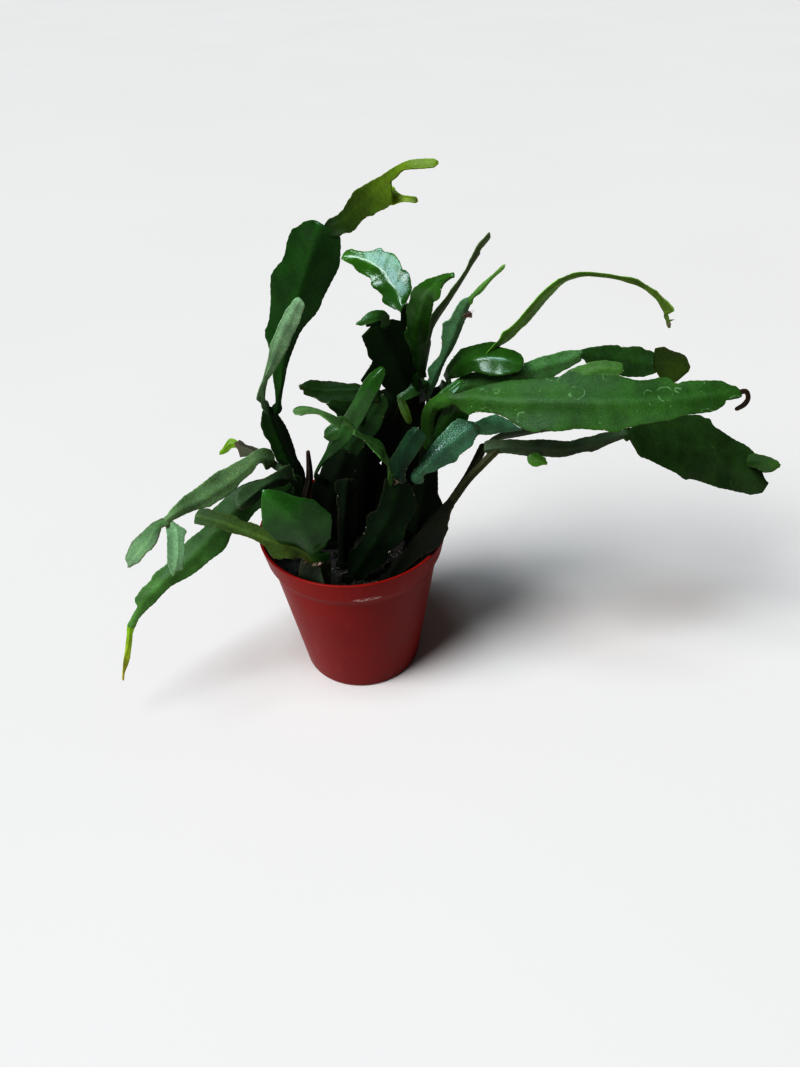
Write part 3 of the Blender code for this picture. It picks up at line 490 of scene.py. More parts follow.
        Pad(((44, 14, 140, 5), (55, 11, 148, 8.5), (69, 11, 149, 12), (85, 12, 154, 13),
             (97, 14, 156, 8.5), (106, 14, 160, 4.5)),
            turn=(10, 15), fold=-0.1, teeth=3, tooth=0.7, look="dusty_green"),
        # The dark blunt pad
        Pad(((104, 14, 160, 4.5), (111, 14, 158, 11), (123, 13, 156, 14.5), (133, 12, 154, 12.5),
             (141, 10, 154, 8.5)),
            turn=(10, 15), teeth=3, tooth=0.7, look="spotted"),
        # The olive end pad
        Pad(((136, 10, 154, 5), (140, 7, 156, 14), (145, 4, 156, 14), (148, 1, 155, 7.5)),
            fold=0.2, teeth=1, tooth=0.4, rib=2.2, look="olive"),
    )),
    Stem("right_low_stem", root=(16, -25), root_width=8, root_turn=0, pads=(
        # The pad that leans over the rim
        Pad(((16, -25, 70, 8), (27, -22, 86, 14), (39, -17, 97, 13.4), (46, -15, 105, 5.3)),
            turn=(-10, -30), fold=-0.1, teeth=3, tooth=0.8, rib=3.6, look="brown_old"),
        # The left stalk
        Pad(((45, -15, 102, 4), (52, -13, 112.5, 4), (56, -11, 119, 4), (61, -9, 130, 3.6)),
            rib=2.6, look="stalk"),
        # The right stalk
        Pad(((45, -15, 102, 3.5), (53, -15.5, 115.5, 3.5), (59, -15.5, 123, 3.5), (66, -15, 131, 3.6)),
            rib=2.6, look="stalk"),
        # The blade behind
        Pad(((59, -10, 127, 3.4), (67, -2, 128, 4.5), (80, 3, 128, 6), (100, 7, 127, 4)),
            turn=(60, 60), teeth=2, tooth=0.3, rib=2.2, look="thin_dark"),
        # The low dark strap
        Pad(((60, -14, 130, 3.2), (72, -14, 131, 6.5), (93, -11, 127, 7.5), (109, -7, 127, 6.5),
             (125, -4, 129, 4.5)),
            turn=(15, 15), fold=-0.2, teeth=4, tooth=0.5, look="thin_dark"),
        # Its small bright shoot
        Pad(((79, -12, 128, 2.5), (83, -16, 125, 6), (87, -18, 124, 2.5)), rib=1.8, look="fresh"),
        # The broad dark end pad
        Pad(((122, -4, 129, 5), (134, -1, 125, 16), (148, 0, 120, 25.5), (164, 1, 113, 27.5),
             (177, 1, 105, 24), (189, 1, 98, 18), (197, 1, 94, 10.5)),
            turn=(-15, 5), fold=-0.1, teeth=5, tooth=1.0, rib=3.0, look="broad_dark"),
        # Its pale tip pad
        Pad(((181, 6.5, 104.5, 3), (190.5, 2, 106.6, 7), (197.8, -3, 107, 3)), rib=1.8, look="end_green"),
    )),
    Stem("dry_stub", root=(-23, 3), root_width=4, root_turn=0, pads=(
        # The dead spike
        Pad(((-23, 3, 70, 4), (-22, 7, 92, 4), (-19, 9, 104, 3.6), (-18, 8, 120, 1.8)),
            turn=(30, 30), rib=2.4, look="dry_spike"),
    ), dry=True),
)


# Outlines followed on the photograph, in its pixels, by stem and number of the pad. A side that
# isn't followed keeps the width of the pad's own points.
OUTLINES = {
    ("tall_arch_stem", 0): (
        (304, 470), (300, 463), (296, 457), (294, 448), (291, 439), (288, 431), (284, 423), (280, 417),
        (274, 408), (270, 405), (266, 406), (262, 409), (261, 415), (260, 425), (262, 430), (264, 436),
        (268, 440), (270, 444), (270, 447), (273, 453), (275, 459), (278, 463), (283, 470)),
    ("tall_arch_stem", 1): (
        (256, 402), (257, 395), (259, 388), (262, 381), (264, 374), (266, 366), (268, 358), (269, 351),
        (270, 344), (273, 338), (276, 331), (279, 323), (282, 318), (284, 313), (286, 309), (290, 305),
        (293, 300), (297, 297), (300, 298), (303, 296), (305, 299), (305, 306), (302, 315), (300, 322),
        (297, 327), (295, 332), (292, 337), (290, 344), (287, 350), (283, 357), (279, 364), (276, 369),
        (272, 375), (268, 380), (266, 388), (264, 402)),
    ("tall_arch_stem", 2): (
        (276, 405), (275, 390), (273, 378), (272, 362), (270, 352), (268, 343), (265, 336), (265, 330),
        (267, 326), (269, 320), (270, 310), (271, 300), (271, 285), (272, 274), (275, 269), (279, 264),
        (283, 260), (286, 252), (287, 243), (289, 236), (292, 229), (299, 226), (303, 222), (309, 220),
        (331, 218), (338, 223), (341, 233), (342, 245), (341, 256), (340, 265), (337, 272), (332, 281),
        (328, 289), (323, 299), (321, 306), (316, 314), (310, 320), (304, 327), (300, 333), (297, 340),
        (293, 350), (290, 358), (287, 368), (285, 380), (283, 390), (281, 405)),
    ("tall_arch_stem", 3): (
        (331, 218), (337, 215), (343, 209), (347, 201), (350, 197), (353, 191), (360, 187), (370, 181),
        (380, 176), (390, 169), (397, 165), (405, 161), (412, 159), (425, 158), (433, 158), (439, 160),
        (437, 165), (434, 167), (425, 168), (410, 169), (403, 170), (399, 173), (397, 176), (394, 179),
        (390, 182), (391, 185), (395, 188), (396, 191), (399, 193), (400, 201), (393, 203), (389, 206),
        (385, 209), (377, 212), (372, 216), (366, 217), (360, 222), (357, 226), (354, 230), (350, 233),
        (341, 233)),
    ("tall_arch_stem", 4): (
        (384, 182), (391, 185), (395, 188), (396, 191), (399, 193), (402, 195), (410, 196), (417, 197),
        (420, 199), (421, 201), (420, 204), (414, 203), (408, 202), (402, 202), (396, 204), (388, 207)),
    ("left_spray_stem", 1): (
        (283, 467), (277, 462), (272, 458), (266, 454), (261, 450), (257, 448), (252, 446), (246, 445),
        (243, 442), (238, 439), (234, 440), (235, 446), (238, 450), (240, 457), (250, 456), (258, 457),
        (262, 462), (268, 465), (274, 469), (280, 473)),
    ("left_spray_stem", 2): (
        (234, 441), (232, 437), (230, 438), (227, 441), (224, 446), (221, 450), (219, 452), (219, 455),
        (224, 454), (228, 452), (230, 450), (232, 446)),
    ("left_spray_stem", 3): (
        (258, 449), (249, 455), (240, 460), (234, 463), (226, 468), (218, 471), (210, 477), (200, 485),
        (192, 491), (184, 496), (181, 499), (176, 504), (170, 510), (167, 515), (160, 519), (168, 523),
        (178, 518), (186, 514), (196, 510), (204, 508), (210, 507), (217, 502), (224, 498), (231, 493),
        (236, 489), (241, 482), (247, 477), (252, 473), (255, 469), (257, 465), (260, 463), (263, 462)),
    ("left_spray_stem", 4): (
        (163, 517), (157, 520), (151, 523), (147, 527), (143, 531), (138, 536), (132, 541), (129, 546),
        (127, 551), (125, 556), (125, 560), (127, 563), (126, 566), (128, 565), (130, 567), (133, 565),
        (138, 563), (140, 561), (144, 556), (148, 551), (151, 550), (154, 546), (157, 541), (159, 535),
        (161, 530), (162, 525), (165, 523)),
    ("left_spray_stem", 5): (
        (166, 522), (166, 530), (167, 536), (167, 545), (167, 555), (167, 563), (169, 568), (171, 573),
        (173, 577), (175, 573), (178, 570), (183, 570), (183, 563), (184, 556), (185, 548), (184, 541),
        (185, 535), (187, 533), (186, 530), (184, 528), (178, 525), (173, 521)),
    ("left_spray_stem", 6): (
        (299, 459), (290, 462), (283, 467), (277, 471), (270, 475), (263, 479), (255, 482), (247, 485),
        (241, 488), (237, 492), (235, 500), (235, 507), (236, 511), (240, 511), (245, 509), (251, 506),
        (255, 503), (260, 498), (264, 494), (272, 489), (283, 486), (292, 480), (300, 475)),
    ("left_spray_stem", 7): (
        (207, 525), (200, 531), (193, 536), (187, 541), (178, 551), (168, 563), (163, 567), (157, 571),
        (153, 575), (151, 580), (147, 584), (142, 588), (138, 594), (135, 598), (135, 602), (137, 604),
        (138, 606), (136, 609), (133, 614), (130, 620), (127, 625), (127, 631), (133, 630), (136, 626),
        (138, 620), (143, 614), (149, 608), (155, 603), (160, 597), (165, 592), (170, 587), (175, 584),
        (181, 581), (187, 578), (192, 575), (199, 570), (205, 565), (208, 562), (215, 557), (222, 552),
        (225, 549), (228, 544), (230, 538), (233, 530)),
    ("left_spray_stem", 8): (
        (127, 631), (126, 640), (125, 650), (123.5, 660), (122.5, 670), (122, 676), (122, 681), (124, 681),
        (124, 677), (125, 672), (128, 665), (130, 658), (131, 650), (132, 643), (133, 631)),
    ("front_stub_stem", 0): (
        (297, 586), (298, 578), (299, 570), (300, 563), (303, 557), (330, 557), (331, 565), (331, 574),
        (330, 586)),
    ("front_stub_stem", 1): (
        (315, 552), (305, 549), (295, 544), (285, 538), (277, 533), (270, 530), (262, 527), (256, 524),
        (250, 522), (245, 522), (240, 519), (236, 516), (228, 514), (216, 511), (207, 508), (201, 508),
        (196, 510), (194, 515), (192, 519), (187, 521), (189, 523), (196, 524), (206, 526), (214, 527),
        (222, 530), (230, 533), (240, 535), (250, 538), (258, 542), (264, 546), (267, 549), (270, 555),
        (274, 559), (280, 560), (287, 558), (293, 560), (298, 558), (303, 559), (307, 562), (311, 564)),
    ("front_stub_stem", 2): (
        (300, 556), (285, 546), (268, 533), (262, 527), (262, 520), (261, 510), (261, 500), (262, 490),
        (268, 489), (276, 490), (284, 492), (292, 495), (300, 497), (307, 498), (315, 500), (320, 505),
        (326, 510), (331, 514), (332, 520), (331, 530), (331, 537), (328, 539), (326, 545), (321, 549),
        (317, 554)),
    ("front_notched_stem", 0): (
        (350, 583), (348, 575), (348, 566), (349, 557), (350, 550), (352, 548), (356, 547), (358, 543),
        (361, 538), (364, 533), (366, 527), (366, 521), (366, 517), (369, 513), (372, 511), (376, 511),
        (377, 508), (379, 503), (381, 495), (383, 488), (384, 480), (387, 475), (390, 474), (397, 477),
        (404, 480), (412, 482), (422, 481)),
    ("front_notched_stem", 1): (
        (387, 476), (388, 466), (391, 457), (396, 450), (400, 443), (404, 437), (408, 431), (413, 427),
        (418, 425), (424, 426), (428, 430), (428, 435), (424, 443), (420, 450), (414, 459), (407, 468),
        (405, 477)),
    ("front_notched_stem", 2): (
        (413, 472), (416, 468), (423, 458), (430, 447), (437, 438), (444, 431), (451, 423), (458, 418),
        (463, 419), (470, 421), (474, 425), (477, 430), (478, 435), (474, 440), (473, 445), (469, 448),
        (465, 451), (460, 454), (458, 458), (457, 461), (453, 463), (448, 464), (445, 466), (442, 467),
        (437, 470), (434, 472), (425, 474), (418, 475)),
    ("front_notched_stem", 3): (
        (394, 476), (391, 469), (388, 463), (387, 457), (385, 450), (383, 444), (379, 440), (372, 437),
        (365, 435), (357, 431), (349, 427), (341, 421), (333, 416), (325, 412), (318, 409), (311, 407),
        (305, 406), (299, 406), (294, 408), (291, 412), (291, 414), (294, 415), (299, 415), (301, 416),
        (307, 414), (318, 414), (324, 418), (332, 424), (340, 429), (350, 432), (358, 437), (365, 441),
        (370, 448), (375, 453), (380, 459), (384, 463), (388, 467), (391, 476)),
    ("front_notched_stem", 4): (
        (475, 423), (481, 419), (489, 416), (496, 414), (503, 417), (510, 421), (516, 426), (521, 430),
        (510, 432), (500, 433), (490, 435), (481, 435), (477, 431)),
    ("narrow_front_stem", 0): (
        (339, 583), (338, 560), (338, 540), (337, 520), (338, 508), (336, 503), (336, 497), (338, 495),
        (335, 492), (334, 486), (335, 482), (338, 478), (342, 475), (347, 474), (352, 476), (356, 480),
        (357, 486), (356, 495), (357, 510), (357, 540)),
    ("left_centre_stem", 2): (
        (314, 474), (319, 465), (323, 458), (327, 450), (330, 441), (333, 430), (338, 424), (343, 418),
        (348, 409), (353, 401), (358, 392), (362, 385), (365, 380), (370, 374), (376, 369), (382, 366),
        (386, 367), (387, 370), (383, 381), (380, 389), (376, 396), (372, 404), (369, 411), (364, 420),
        (358, 429), (354, 434), (350, 441), (345, 446), (338, 452), (332, 457), (326, 461), (320, 468),
        (316, 476)),
    ("left_centre_stem", 3): (
        (338, 423), (331, 424), (327, 427), (324, 431), (324, 436), (323, 439), (325, 441), (331, 441)),
    ("left_centre_stem", 4): (
        (372, 389), (367, 388), (361, 385), (355, 383), (349, 384), (343, 383), (336, 382), (330, 381),
        (322, 381), (316, 380), (310, 380), (305, 382), (301, 385), (298, 388), (300, 390), (304, 390),
        (303, 394), (308, 396), (315, 398), (319, 401), (322, 403), (328, 404), (334, 404), (345, 403),
        (356, 402)),
    ("left_centre_stem", 5): (
        (328, 404), (329, 408), (333, 411), (336, 413), (337, 417), (340, 418), (346, 420)),
    ("centre_stem", 0): (
        (376, 530), (376, 515), (377, 500), (378, 485), (380, 470), (383, 455), (387, 440), (391, 425),
        (396, 410), (401, 398)),
    ("centre_stem", 1): (
        (364, 385), (360, 380), (365, 372), (370, 365), (372, 360), (369, 358), (367, 354), (367, 350),
        (365, 345), (362, 337), (360, 331), (366, 328), (373, 325), (380, 321), (393, 319), (404, 322),
        (407, 335), (409, 350), (408, 365)),
    ("centre_stem", 2): (
        (392, 318), (386, 312), (383, 310), (377, 310), (371, 311), (366, 314), (362, 318), (360, 321),
        (354, 322), (352, 324), (357, 325), (361, 326), (368, 324), (374, 323), (378, 321), (386, 321)),
    ("centre_stem", 4): (
        (399, 311), (396, 311), (392, 308), (390, 307), (386, 305), (382, 302), (382, 299), (383, 296),
        (378, 291), (373, 288), (371, 284), (372, 281), (371, 279), (364, 275), (358, 272), (355, 269),
        (354, 266), (350, 264), (344, 261), (341, 258), (344, 253), (347, 250), (352, 249), (358, 251),
        (366, 252), (372, 251), (379, 248), (382, 248), (384, 252), (388, 252), (393, 253), (397, 257),
        (400, 262), (402, 267), (403, 270), (407, 271), (410, 275), (411, 281), (412, 288), (411, 292),
        (409, 297), (406, 303), (402, 309)),
    ("centre_stem", 5): (
        (428, 390), (424, 385), (420, 377), (416, 369), (412, 362), (413, 357), (410, 350), (408, 343),
        (405, 338), (404, 332), (407, 328), (407, 320), (406, 311), (408, 304), (410, 300), (411, 292),
        (415, 287), (421, 283), (428, 279), (436, 277), (444, 274), (449, 273), (452, 275), (450, 278),
        (446, 281), (443, 284), (441, 290), (440, 297), (438, 300), (434, 302), (433, 311), (431, 318),
        (430, 327), (429, 335), (427, 342), (425, 350), (426, 360), (426, 372), (430, 388)),
    ("centre_stem", 6): (
        (428, 325), (432, 315), (437, 308), (442, 302), (447, 296), (451, 289), (455, 284), (459, 279),
        (463, 273), (467, 267), (469, 261), (473, 254), (476, 248), (479, 243), (484, 238), (488, 233),
        (491, 233), (490, 238), (487, 242), (484, 246), (480, 250), (480, 254), (476, 260), (472, 266),
        (468, 273), (463, 281), (458, 289), (452, 298), (446, 307), (440, 316), (436, 323), (432, 331),
        (427, 345)),
    ("centre_stem", 7): (
        (430, 383), (427, 369), (434, 361), (439, 356), (441, 350), (442, 343), (441, 337), (442, 330),
        (442, 323), (445, 320), (449, 320), (452, 314), (456, 307), (460, 301), (464, 298), (469, 296),
        (472, 299), (470, 305), (468, 310), (467, 316), (464, 322), (462, 328), (459, 335), (456, 342),
        (452, 350), (447, 358), (443, 366), (440, 375), (437, 383)),
    ("centre_stem", 8): (
        (469, 297), (471, 295), (476, 289), (482, 283), (488, 278), (494, 273), (499, 268), (503, 264),
        (507, 262), (508, 264), (506, 267), (501, 272), (496, 276), (491, 281), (487, 286), (484, 290),
        (480, 294), (475, 297), (472, 299)),
    ("right_main_stem", 0): (
        (440, 444), (439, 460), (438, 472), (438, 484), (438, 494), (441, 500), (444, 506), (446, 512),
        (445, 517), (441, 522)),
    ("right_main_stem", 1): (
        (452, 396), (462, 392), (475, 388), (490, 384), (510, 380), (530, 379), (560, 377), (570, 370),
        (586, 366), (600, 369), (614, 374), (620, 376), (628, 378), (636, 380), (645, 380), (652, 379),
        (660, 377), (667, 377), (671, 379), (674, 383), (677, 384), (682, 382), (690, 381), (700, 381),
        (710, 381), (720, 381), (725, 383), (731, 386), (737, 386), (739, 389), (738, 393), (738, 397),
        (735, 399), (730, 400), (726, 400), (725, 404), (722, 407), (717, 410), (712, 412), (705, 413),
        (698, 414), (690, 415), (684, 416), (678, 418), (670, 421), (660, 422), (650, 424), (641, 425),
        (633, 427), (627, 428), (622, 430), (618, 432), (610, 432), (604, 430), (595, 430), (585, 429),
        (575, 429), (565, 431), (555, 432), (548, 431), (545, 430), (542, 431), (538, 433), (533, 433),
        (527, 431), (521, 428), (514, 424), (508, 419), (502, 416), (497, 414), (490, 413), (480, 412),
        (477, 412), (473, 413), (470, 415), (467, 414), (460, 410), (455, 405), (452, 402)),
    ("right_main_stem", 2): (
        (562, 377), (561, 371), (563, 368), (571, 369), (578, 366), (586, 364), (589, 362), (596, 361),
        (605, 360), (612, 361), (620, 362), (624, 364), (626, 367), (625, 370), (622, 373), (620, 376)),
    ("back_right_stem", 1): (
        (440, 386), (448, 365), (461, 349), (470, 347), (480, 345), (490, 343), (497, 343), (500, 348),
        (507, 349), (515, 351), (521, 355), (524, 360), (526, 366), (520, 372), (505, 376), (490, 376),
        (474, 372), (469, 375), (463, 377), (456, 378), (450, 379), (445, 382)),
    ("back_right_stem", 3): (
        (505, 373), (512, 370), (518, 366), (524, 363), (530, 361), (537, 358), (543, 356), (549, 355),
        (556, 353), (562, 351), (570, 350), (578, 350), (584, 350), (584, 352), (582, 355), (581, 358),
        (582, 360), (578, 363), (572, 366), (570, 369)),
    ("back_right_stem", 4): (
        (583, 351), (586, 348), (592, 347), (600, 346), (606, 345), (613, 345), (618, 345), (622, 347),
        (628, 347), (635, 346), (642, 347), (645, 350), (649, 350), (656, 353), (659, 360), (659, 367),
        (656, 373), (650, 375), (643, 377), (635, 377), (628, 377), (622, 376), (606, 372), (592, 367),
        (586, 363), (583, 359), (585, 355)),
    ("back_right_stem", 5): (
        (649, 350), (655, 348), (661, 347), (665, 346), (668, 349), (675, 351), (681, 353), (685, 355),
        (687, 358), (689, 363), (691, 367), (693, 372), (692, 375), (691, 377), (692, 383), (680, 384),
        (668, 382), (659, 377), (656, 373)),
    ("back_right_stem", 2): (
        (497, 343), (500, 338), (503, 332), (507, 330), (512, 326), (519, 319), (522, 315), (527, 309),
        (533, 302), (538, 296), (544, 290), (551, 284), (558, 279), (566, 276), (573, 273), (580, 272),
        (590, 272), (600, 273), (610, 274), (620, 276), (631, 277), (638, 279), (641, 281), (645, 284),
        (650, 287), (657, 291), (662, 297), (668, 302), (673, 308), (674, 312), (675, 318), (674, 322),
        (673, 326), (670, 326), (670, 322), (668, 321), (669, 318), (668, 315), (663, 311), (660, 306),
        (657, 300), (651, 295), (644, 289), (636, 285), (628, 283), (620, 280), (610, 278), (600, 277),
        (588, 276), (580, 277), (573, 279), (567, 281), (560, 286), (554, 293), (547, 300), (540, 308),
        (533, 316), (526, 324), (520, 329), (513, 337), (507, 342), (500, 346)),
    ("right_low_stem", 0): (
        (392, 566), (398, 556), (404, 550), (410, 545), (416, 538), (421, 530), (427, 521), (433, 514),
        (441, 507), (446, 502), (452, 497), (457, 500), (454, 507), (451, 512), (450, 519), (448, 525),
        (449, 529), (446, 535), (443, 541), (440, 546), (434, 550), (427, 554), (419, 558)),
    ("right_low_stem", 4): (
        (474, 442), (485, 441), (493, 439), (500, 440), (510, 439), (525, 440), (540, 439), (555, 440),
        (563, 441), (571, 441), (577, 439), (584, 437), (592, 436), (600, 433), (606, 432), (618, 431),
        (626, 429), (629, 434), (628, 437), (620, 440), (612, 443), (605, 446), (597, 450), (588, 453)),
    ("right_low_stem", 5): (
        (527, 449), (527, 458), (528, 463), (532, 466), (537, 467), (542, 465), (547, 462), (549, 459),
        (542, 456), (535, 451)),
    ("right_low_stem", 6): (
        (627, 429), (641, 424), (660, 420), (678, 416), (690, 415), (698, 415), (703, 418), (709, 419),
        (711, 424), (714, 427), (720, 430), (728, 435), (736, 440), (744, 444), (748, 447), (752, 451),
        (756, 457), (759, 464), (761, 470), (763, 476), (765, 480), (767, 483), (766, 486), (767, 488),
        (766, 491), (762, 493), (757, 494), (750, 495), (744, 493), (737, 492), (729, 490), (724, 489),
        (718, 488), (710, 485), (702, 482), (696, 480), (690, 479), (685, 480), (681, 478), (676, 474),
        (670, 471), (664, 468), (657, 464), (650, 460), (645, 458), (641, 457), (638, 454), (635, 449),
        (632, 444), (630, 439), (628, 434)),
    ("right_low_stem", 7): (
        (752, 451), (757, 454), (763, 455), (770, 457), (774, 459), (778, 461), (780, 463), (779, 467),
        (776, 470), (772, 472), (766, 473), (760, 472)),
}


# Small things that belong to one place: stem, pad, share of its length, place across
# from -1 to 1, size in millimetres
SCARS = (
    ("front_stub_stem", 0, 0.97, 0.5, 3.6),
    ("front_stub_stem", 0, 0.90, -0.7, 1.6),
    ("front_stub_stem", 2, 0.08, 0.1, 4.4),
    ("front_notched_stem", 0, 0.985, -0.15, 3.4),
    ("front_notched_stem", 0, 0.99, 0.5, 2.4),
    ("left_centre_stem", 0, 0.98, 0.2, 2.2),
    ("left_centre_stem", 4, 0.99, 0.4, 1.0),
    ("narrow_front_stem", 0, 0.98, 0.3, 1.8),
    ("front_notched_stem", 2, 0.98, 0.7, 1.3),
    ("centre_stem", 7, 0.86, 0.90, 3.4),
    ("left_spray_stem", 1, 0.97, 0.2, 1.7),
    ("left_spray_stem", 6, 0.97, 0.2, 1.2),
    ("back_right_stem", 2, 0.985, 0.0, 1.5),
    ("right_low_stem", 4, 0.80, -0.8, 0.9),
    ("back_right_stem", 3, 0.97, 0.6, 0.9),
)


class Graph:
    """Short names for the nodes of one material."""

    def __init__(self, name):
        self.material = bpy.data.materials.new(name)
        self.material.use_nodes = True
        self.nodes = self.material.node_tree.nodes
        self.links = self.material.node_tree.links
        self.shader = self.nodes["Principled BSDF"]

    def feed(self, socket, value):
        """Links a value that is a socket, and sets any other."""
        if isinstance(value, bpy.types.NodeSocket):
            self.links.new(value, socket)
        elif socket.type == "RGBA":
            socket.default_value = (*value, 1.0)
        else:
            socket.default_value = value

    def add(self, kind, values=None, **settings):
        """A node with its settings, and with values for its inputs by number or name."""
        node = self.nodes.new(kind)
        for key, value in settings.items():
            setattr(node, key, value)
        for key, value in (values or {}).items():
            self.feed(node.inputs[key], value)
        return node

    def place(self):
        """Where a point is, in metres, in the part's own frame."""
        return self.add("ShaderNodeTexCoord").outputs["Object"]

    def split(self, vector):
        return self.add("ShaderNodeSeparateXYZ", {0: vector}).outputs

    def read(self, name):
        """The three numbers of a mesh attribute, as separate sockets, and the whole of it."""
        whole = self.add("ShaderNodeAttribute", attribute_name=name).outputs["Vector"]
        return (*self.split(whole), whole)

    def math(self, operation, first, second=0.0):
        return self.add("ShaderNodeMath", {0: first, 1: second}, operation=operation).outputs[0]

    def plus(self, first, second):
        return self.math("ADD", first, second)

    def minus(self, first, second):
        return self.math("SUBTRACT", first, second)

    def times(self, product, *others):
        for other in others:
            product = self.math("MULTIPLY", product, other)
        return product

    def stretch(self, value, low, high, to_low=0.0, to_high=1.0):
        """value from low to high, brought smoothly to to_low to to_high and held there."""
        values = dict(enumerate((value, low, high, to_low, to_high)))
        return self.add("ShaderNodeMapRange", values, interpolation_type="SMOOTHSTEP").outputs[0]

    def mix(self, share, first, second):
        return self.add("ShaderNodeMix", {0: share, 6: first, 7: second}, data_type="RGBA").outputs[2]

    def scaled(self, colour, factor):
        return self.add("ShaderNodeVectorMath", {0: colour, "Scale": factor}, operation="SCALE").outputs[0]

    def stretched(self, vector, factors):
        """A vector with each of its three numbers multiplied by its own factor."""
        return self.add("ShaderNodeVectorMath", {0: vector, 1: factors}, operation="MULTIPLY").outputs[0]

    def noise(self, where, scale, detail=3.0):
        values = {"Vector": where, "Scale": scale, "Detail": detail}
        return self.add("ShaderNodeTexNoise", values).outputs["Fac"]

    def cells(self, where, scale):
        """The distance to the nearest of many scattered points, and three numbers of that point's own."""
        node = self.add("ShaderNodeTexVoronoi", {"Vector": where, "Scale": scale})
        return node.outputs["Distance"], self.split(node.outputs["Color"])

    def dots(self, where, scale, size, kept):
        """Round spots round some of many scattered points. size and kept are ranges."""
        distance, own = self.cells(where, scale)
        return self.times(self.stretch(distance, *size, 1.0, 0.0), self.stretch(own[0], *kept))

    def bump(self, height, strength, distance):
        values = {"Strength": strength, "Distance": distance, "Height": height}
        raised = self.add("ShaderNodeBump", values).outputs[0]
        for name in ("Normal", "Coat Normal"):
            self.feed(self.shader.inputs[name], raised)

    def finish(self, colour, roughness, others=None):
        """The material, once its shader has its values."""
        for name, value in {"Base Color": colour, "Roughness": roughness, **(others or {})}.items():
            self.feed(self.shader.inputs[name], value)
        return self.material


def water_rings(g, here, amount):
    """Thin broken rings where drops have dried, laid out flat on each pad."""
    across, along = g.read("place")[:2]
    flat = g.add("ShaderNodeCombineXYZ", {0: across, 1: along}).outputs[0]
    wobble = g.times(g.minus(g.noise(here, 400.0, 2.0), 0.5), 0.22)
    distance, own = g.cells(flat, 0.115)
    radius = g.stretch(own[1], 0.0, 1.0, 0.15, 0.40)
    off = g.math("ABSOLUTE", g.minus(g.plus(distance, wobble), radius))
    line = g.stretch(off, 0.008, 0.035, 1.0, 0.0)
    some = g.stretch(own[0], 0.35, 0.4)
    broken = g.stretch(g.noise(here, 330.0, 2.0), 0.4, 0.6)
    return g.times(line, some, broken, amount)


def edged(g, here, colour, tint, pale, rim):
    """The colour with a paler and then a browned line along the margins."""
    from_edge = g.read("place")[2]
    ragged = g.stretch(g.noise(here, 700.0, 3.0), 0.35, 0.65, 0.15, 1.0)
    bright = g.times(g.stretch(from_edge, 0.15, 0.55, 1.0, 0.0), pale, ragged, 0.7)
    colour = g.mix(bright, colour, g.scaled(tint, 2.6))
    browned = g.times(g.stretch(from_edge, 0.25, 1.1, 1.0, 0.0), rim, ragged, 0.8)
    return g.mix(browned, colour, BROWNED)


def pad_skin():
    """Waxy green skin, coloured by each pad's own attributes, with veins, rims, dust and water rings."""
    g = Graph("pad_skin")
    here = g.place()
    tint = g.stretched(g.read("tint")[3], WARMED)
    vein, under = g.read("form")[:2]
    roughness, dust, rim = g.read("coat")[:3]
    pale, rings, grain = g.read("marks")[:3]
    patches, fine = g.noise(here, 90.0, 4.0), g.noise(here, 900.0, 2.0)
    grains = g.stretch(g.cells(here, 1500.0)[0], 0.1, 0.6)

    colour = g.scaled(tint, g.stretch(patches, 0.3, 0.7, 0.78, 1.25))
    colour = g.scaled(colour, g.stretch(fine, 0.25, 0.75, 0.88, 1.12))
    colour = g.mix(g.times(vein, 0.55), colour, g.scaled(colour, 2.1))
    colour = g.mix(g.times(under, 0.35), colour, g.scaled(tint, 1.35))
    colour = g.mix(g.times(g.minus(1.0, grains), grain, 0.55), colour, g.scaled(colour, 0.55))
    veil = g.times(g.stretch(g.noise(here, 260.0, 5.0), 0.35, 0.75), dust, 0.42)
    colour = g.mix(veil, colour, DUST)
    specks = g.dots(here, 420.0, (0.05, 0.10), (0.72, 0.75))
    colour = g.mix(g.times(specks, g.plus(dust, rings), 0.5), colour, SPECK)
    ring = water_rings(g, here, rings)
    colour = g.mix(g.times(ring, 0.36), colour, DRIED_WATER)
    colour = edged(g, here, colour, tint, pale, rim)

    g.bump(g.times(g.plus(g.times(fine, 0.5), g.times(grains, 2.0)), grain), 0.35, 0.00022)
    worn = g.plus(g.times(g.plus(veil, ring), 0.6), g.times(g.minus(patches, 0.5), 0.25))
    return g.finish(colour, g.math("MAXIMUM", g.plus(roughness, worn), 0.16), {
        "Specular IOR Level": UNDER_GLOSS,
        "Coat Weight": g.stretch(roughness, *COATED, 1.0, 0.0),
        "Coat Roughness": COAT_ROUGHNESS,
        "Coat IOR": COAT_IOR,
    })


def oval(g, x, z, centre, size, edge):
    """A soft oval seen from the pot's front. edge is where it fades out, as shares of its size squared."""
    across = g.math("DIVIDE", g.minus(x, centre[0]), size[0])
    up = g.math("DIVIDE", g.minus(z, centre[1]), size[1])
    return g.stretch(g.plus(g.times(across, across), g.times(up, up)), *edge, 1.0, 0.0)


def inside_wall(g, here):
    """1 on a face that looks towards the pot's axis and 0 on any other."""
    normal = g.add("ShaderNodeNewGeometry").outputs["Normal"]
    values = {0: normal, 1: g.stretched(here, (1.0, 1.0, 0.0))}
    facing = g.add("ShaderNodeVectorMath", values, operation="DOT_PRODUCT").outputs["Value"]
    return g.stretch(facing, 0.0, -0.005)


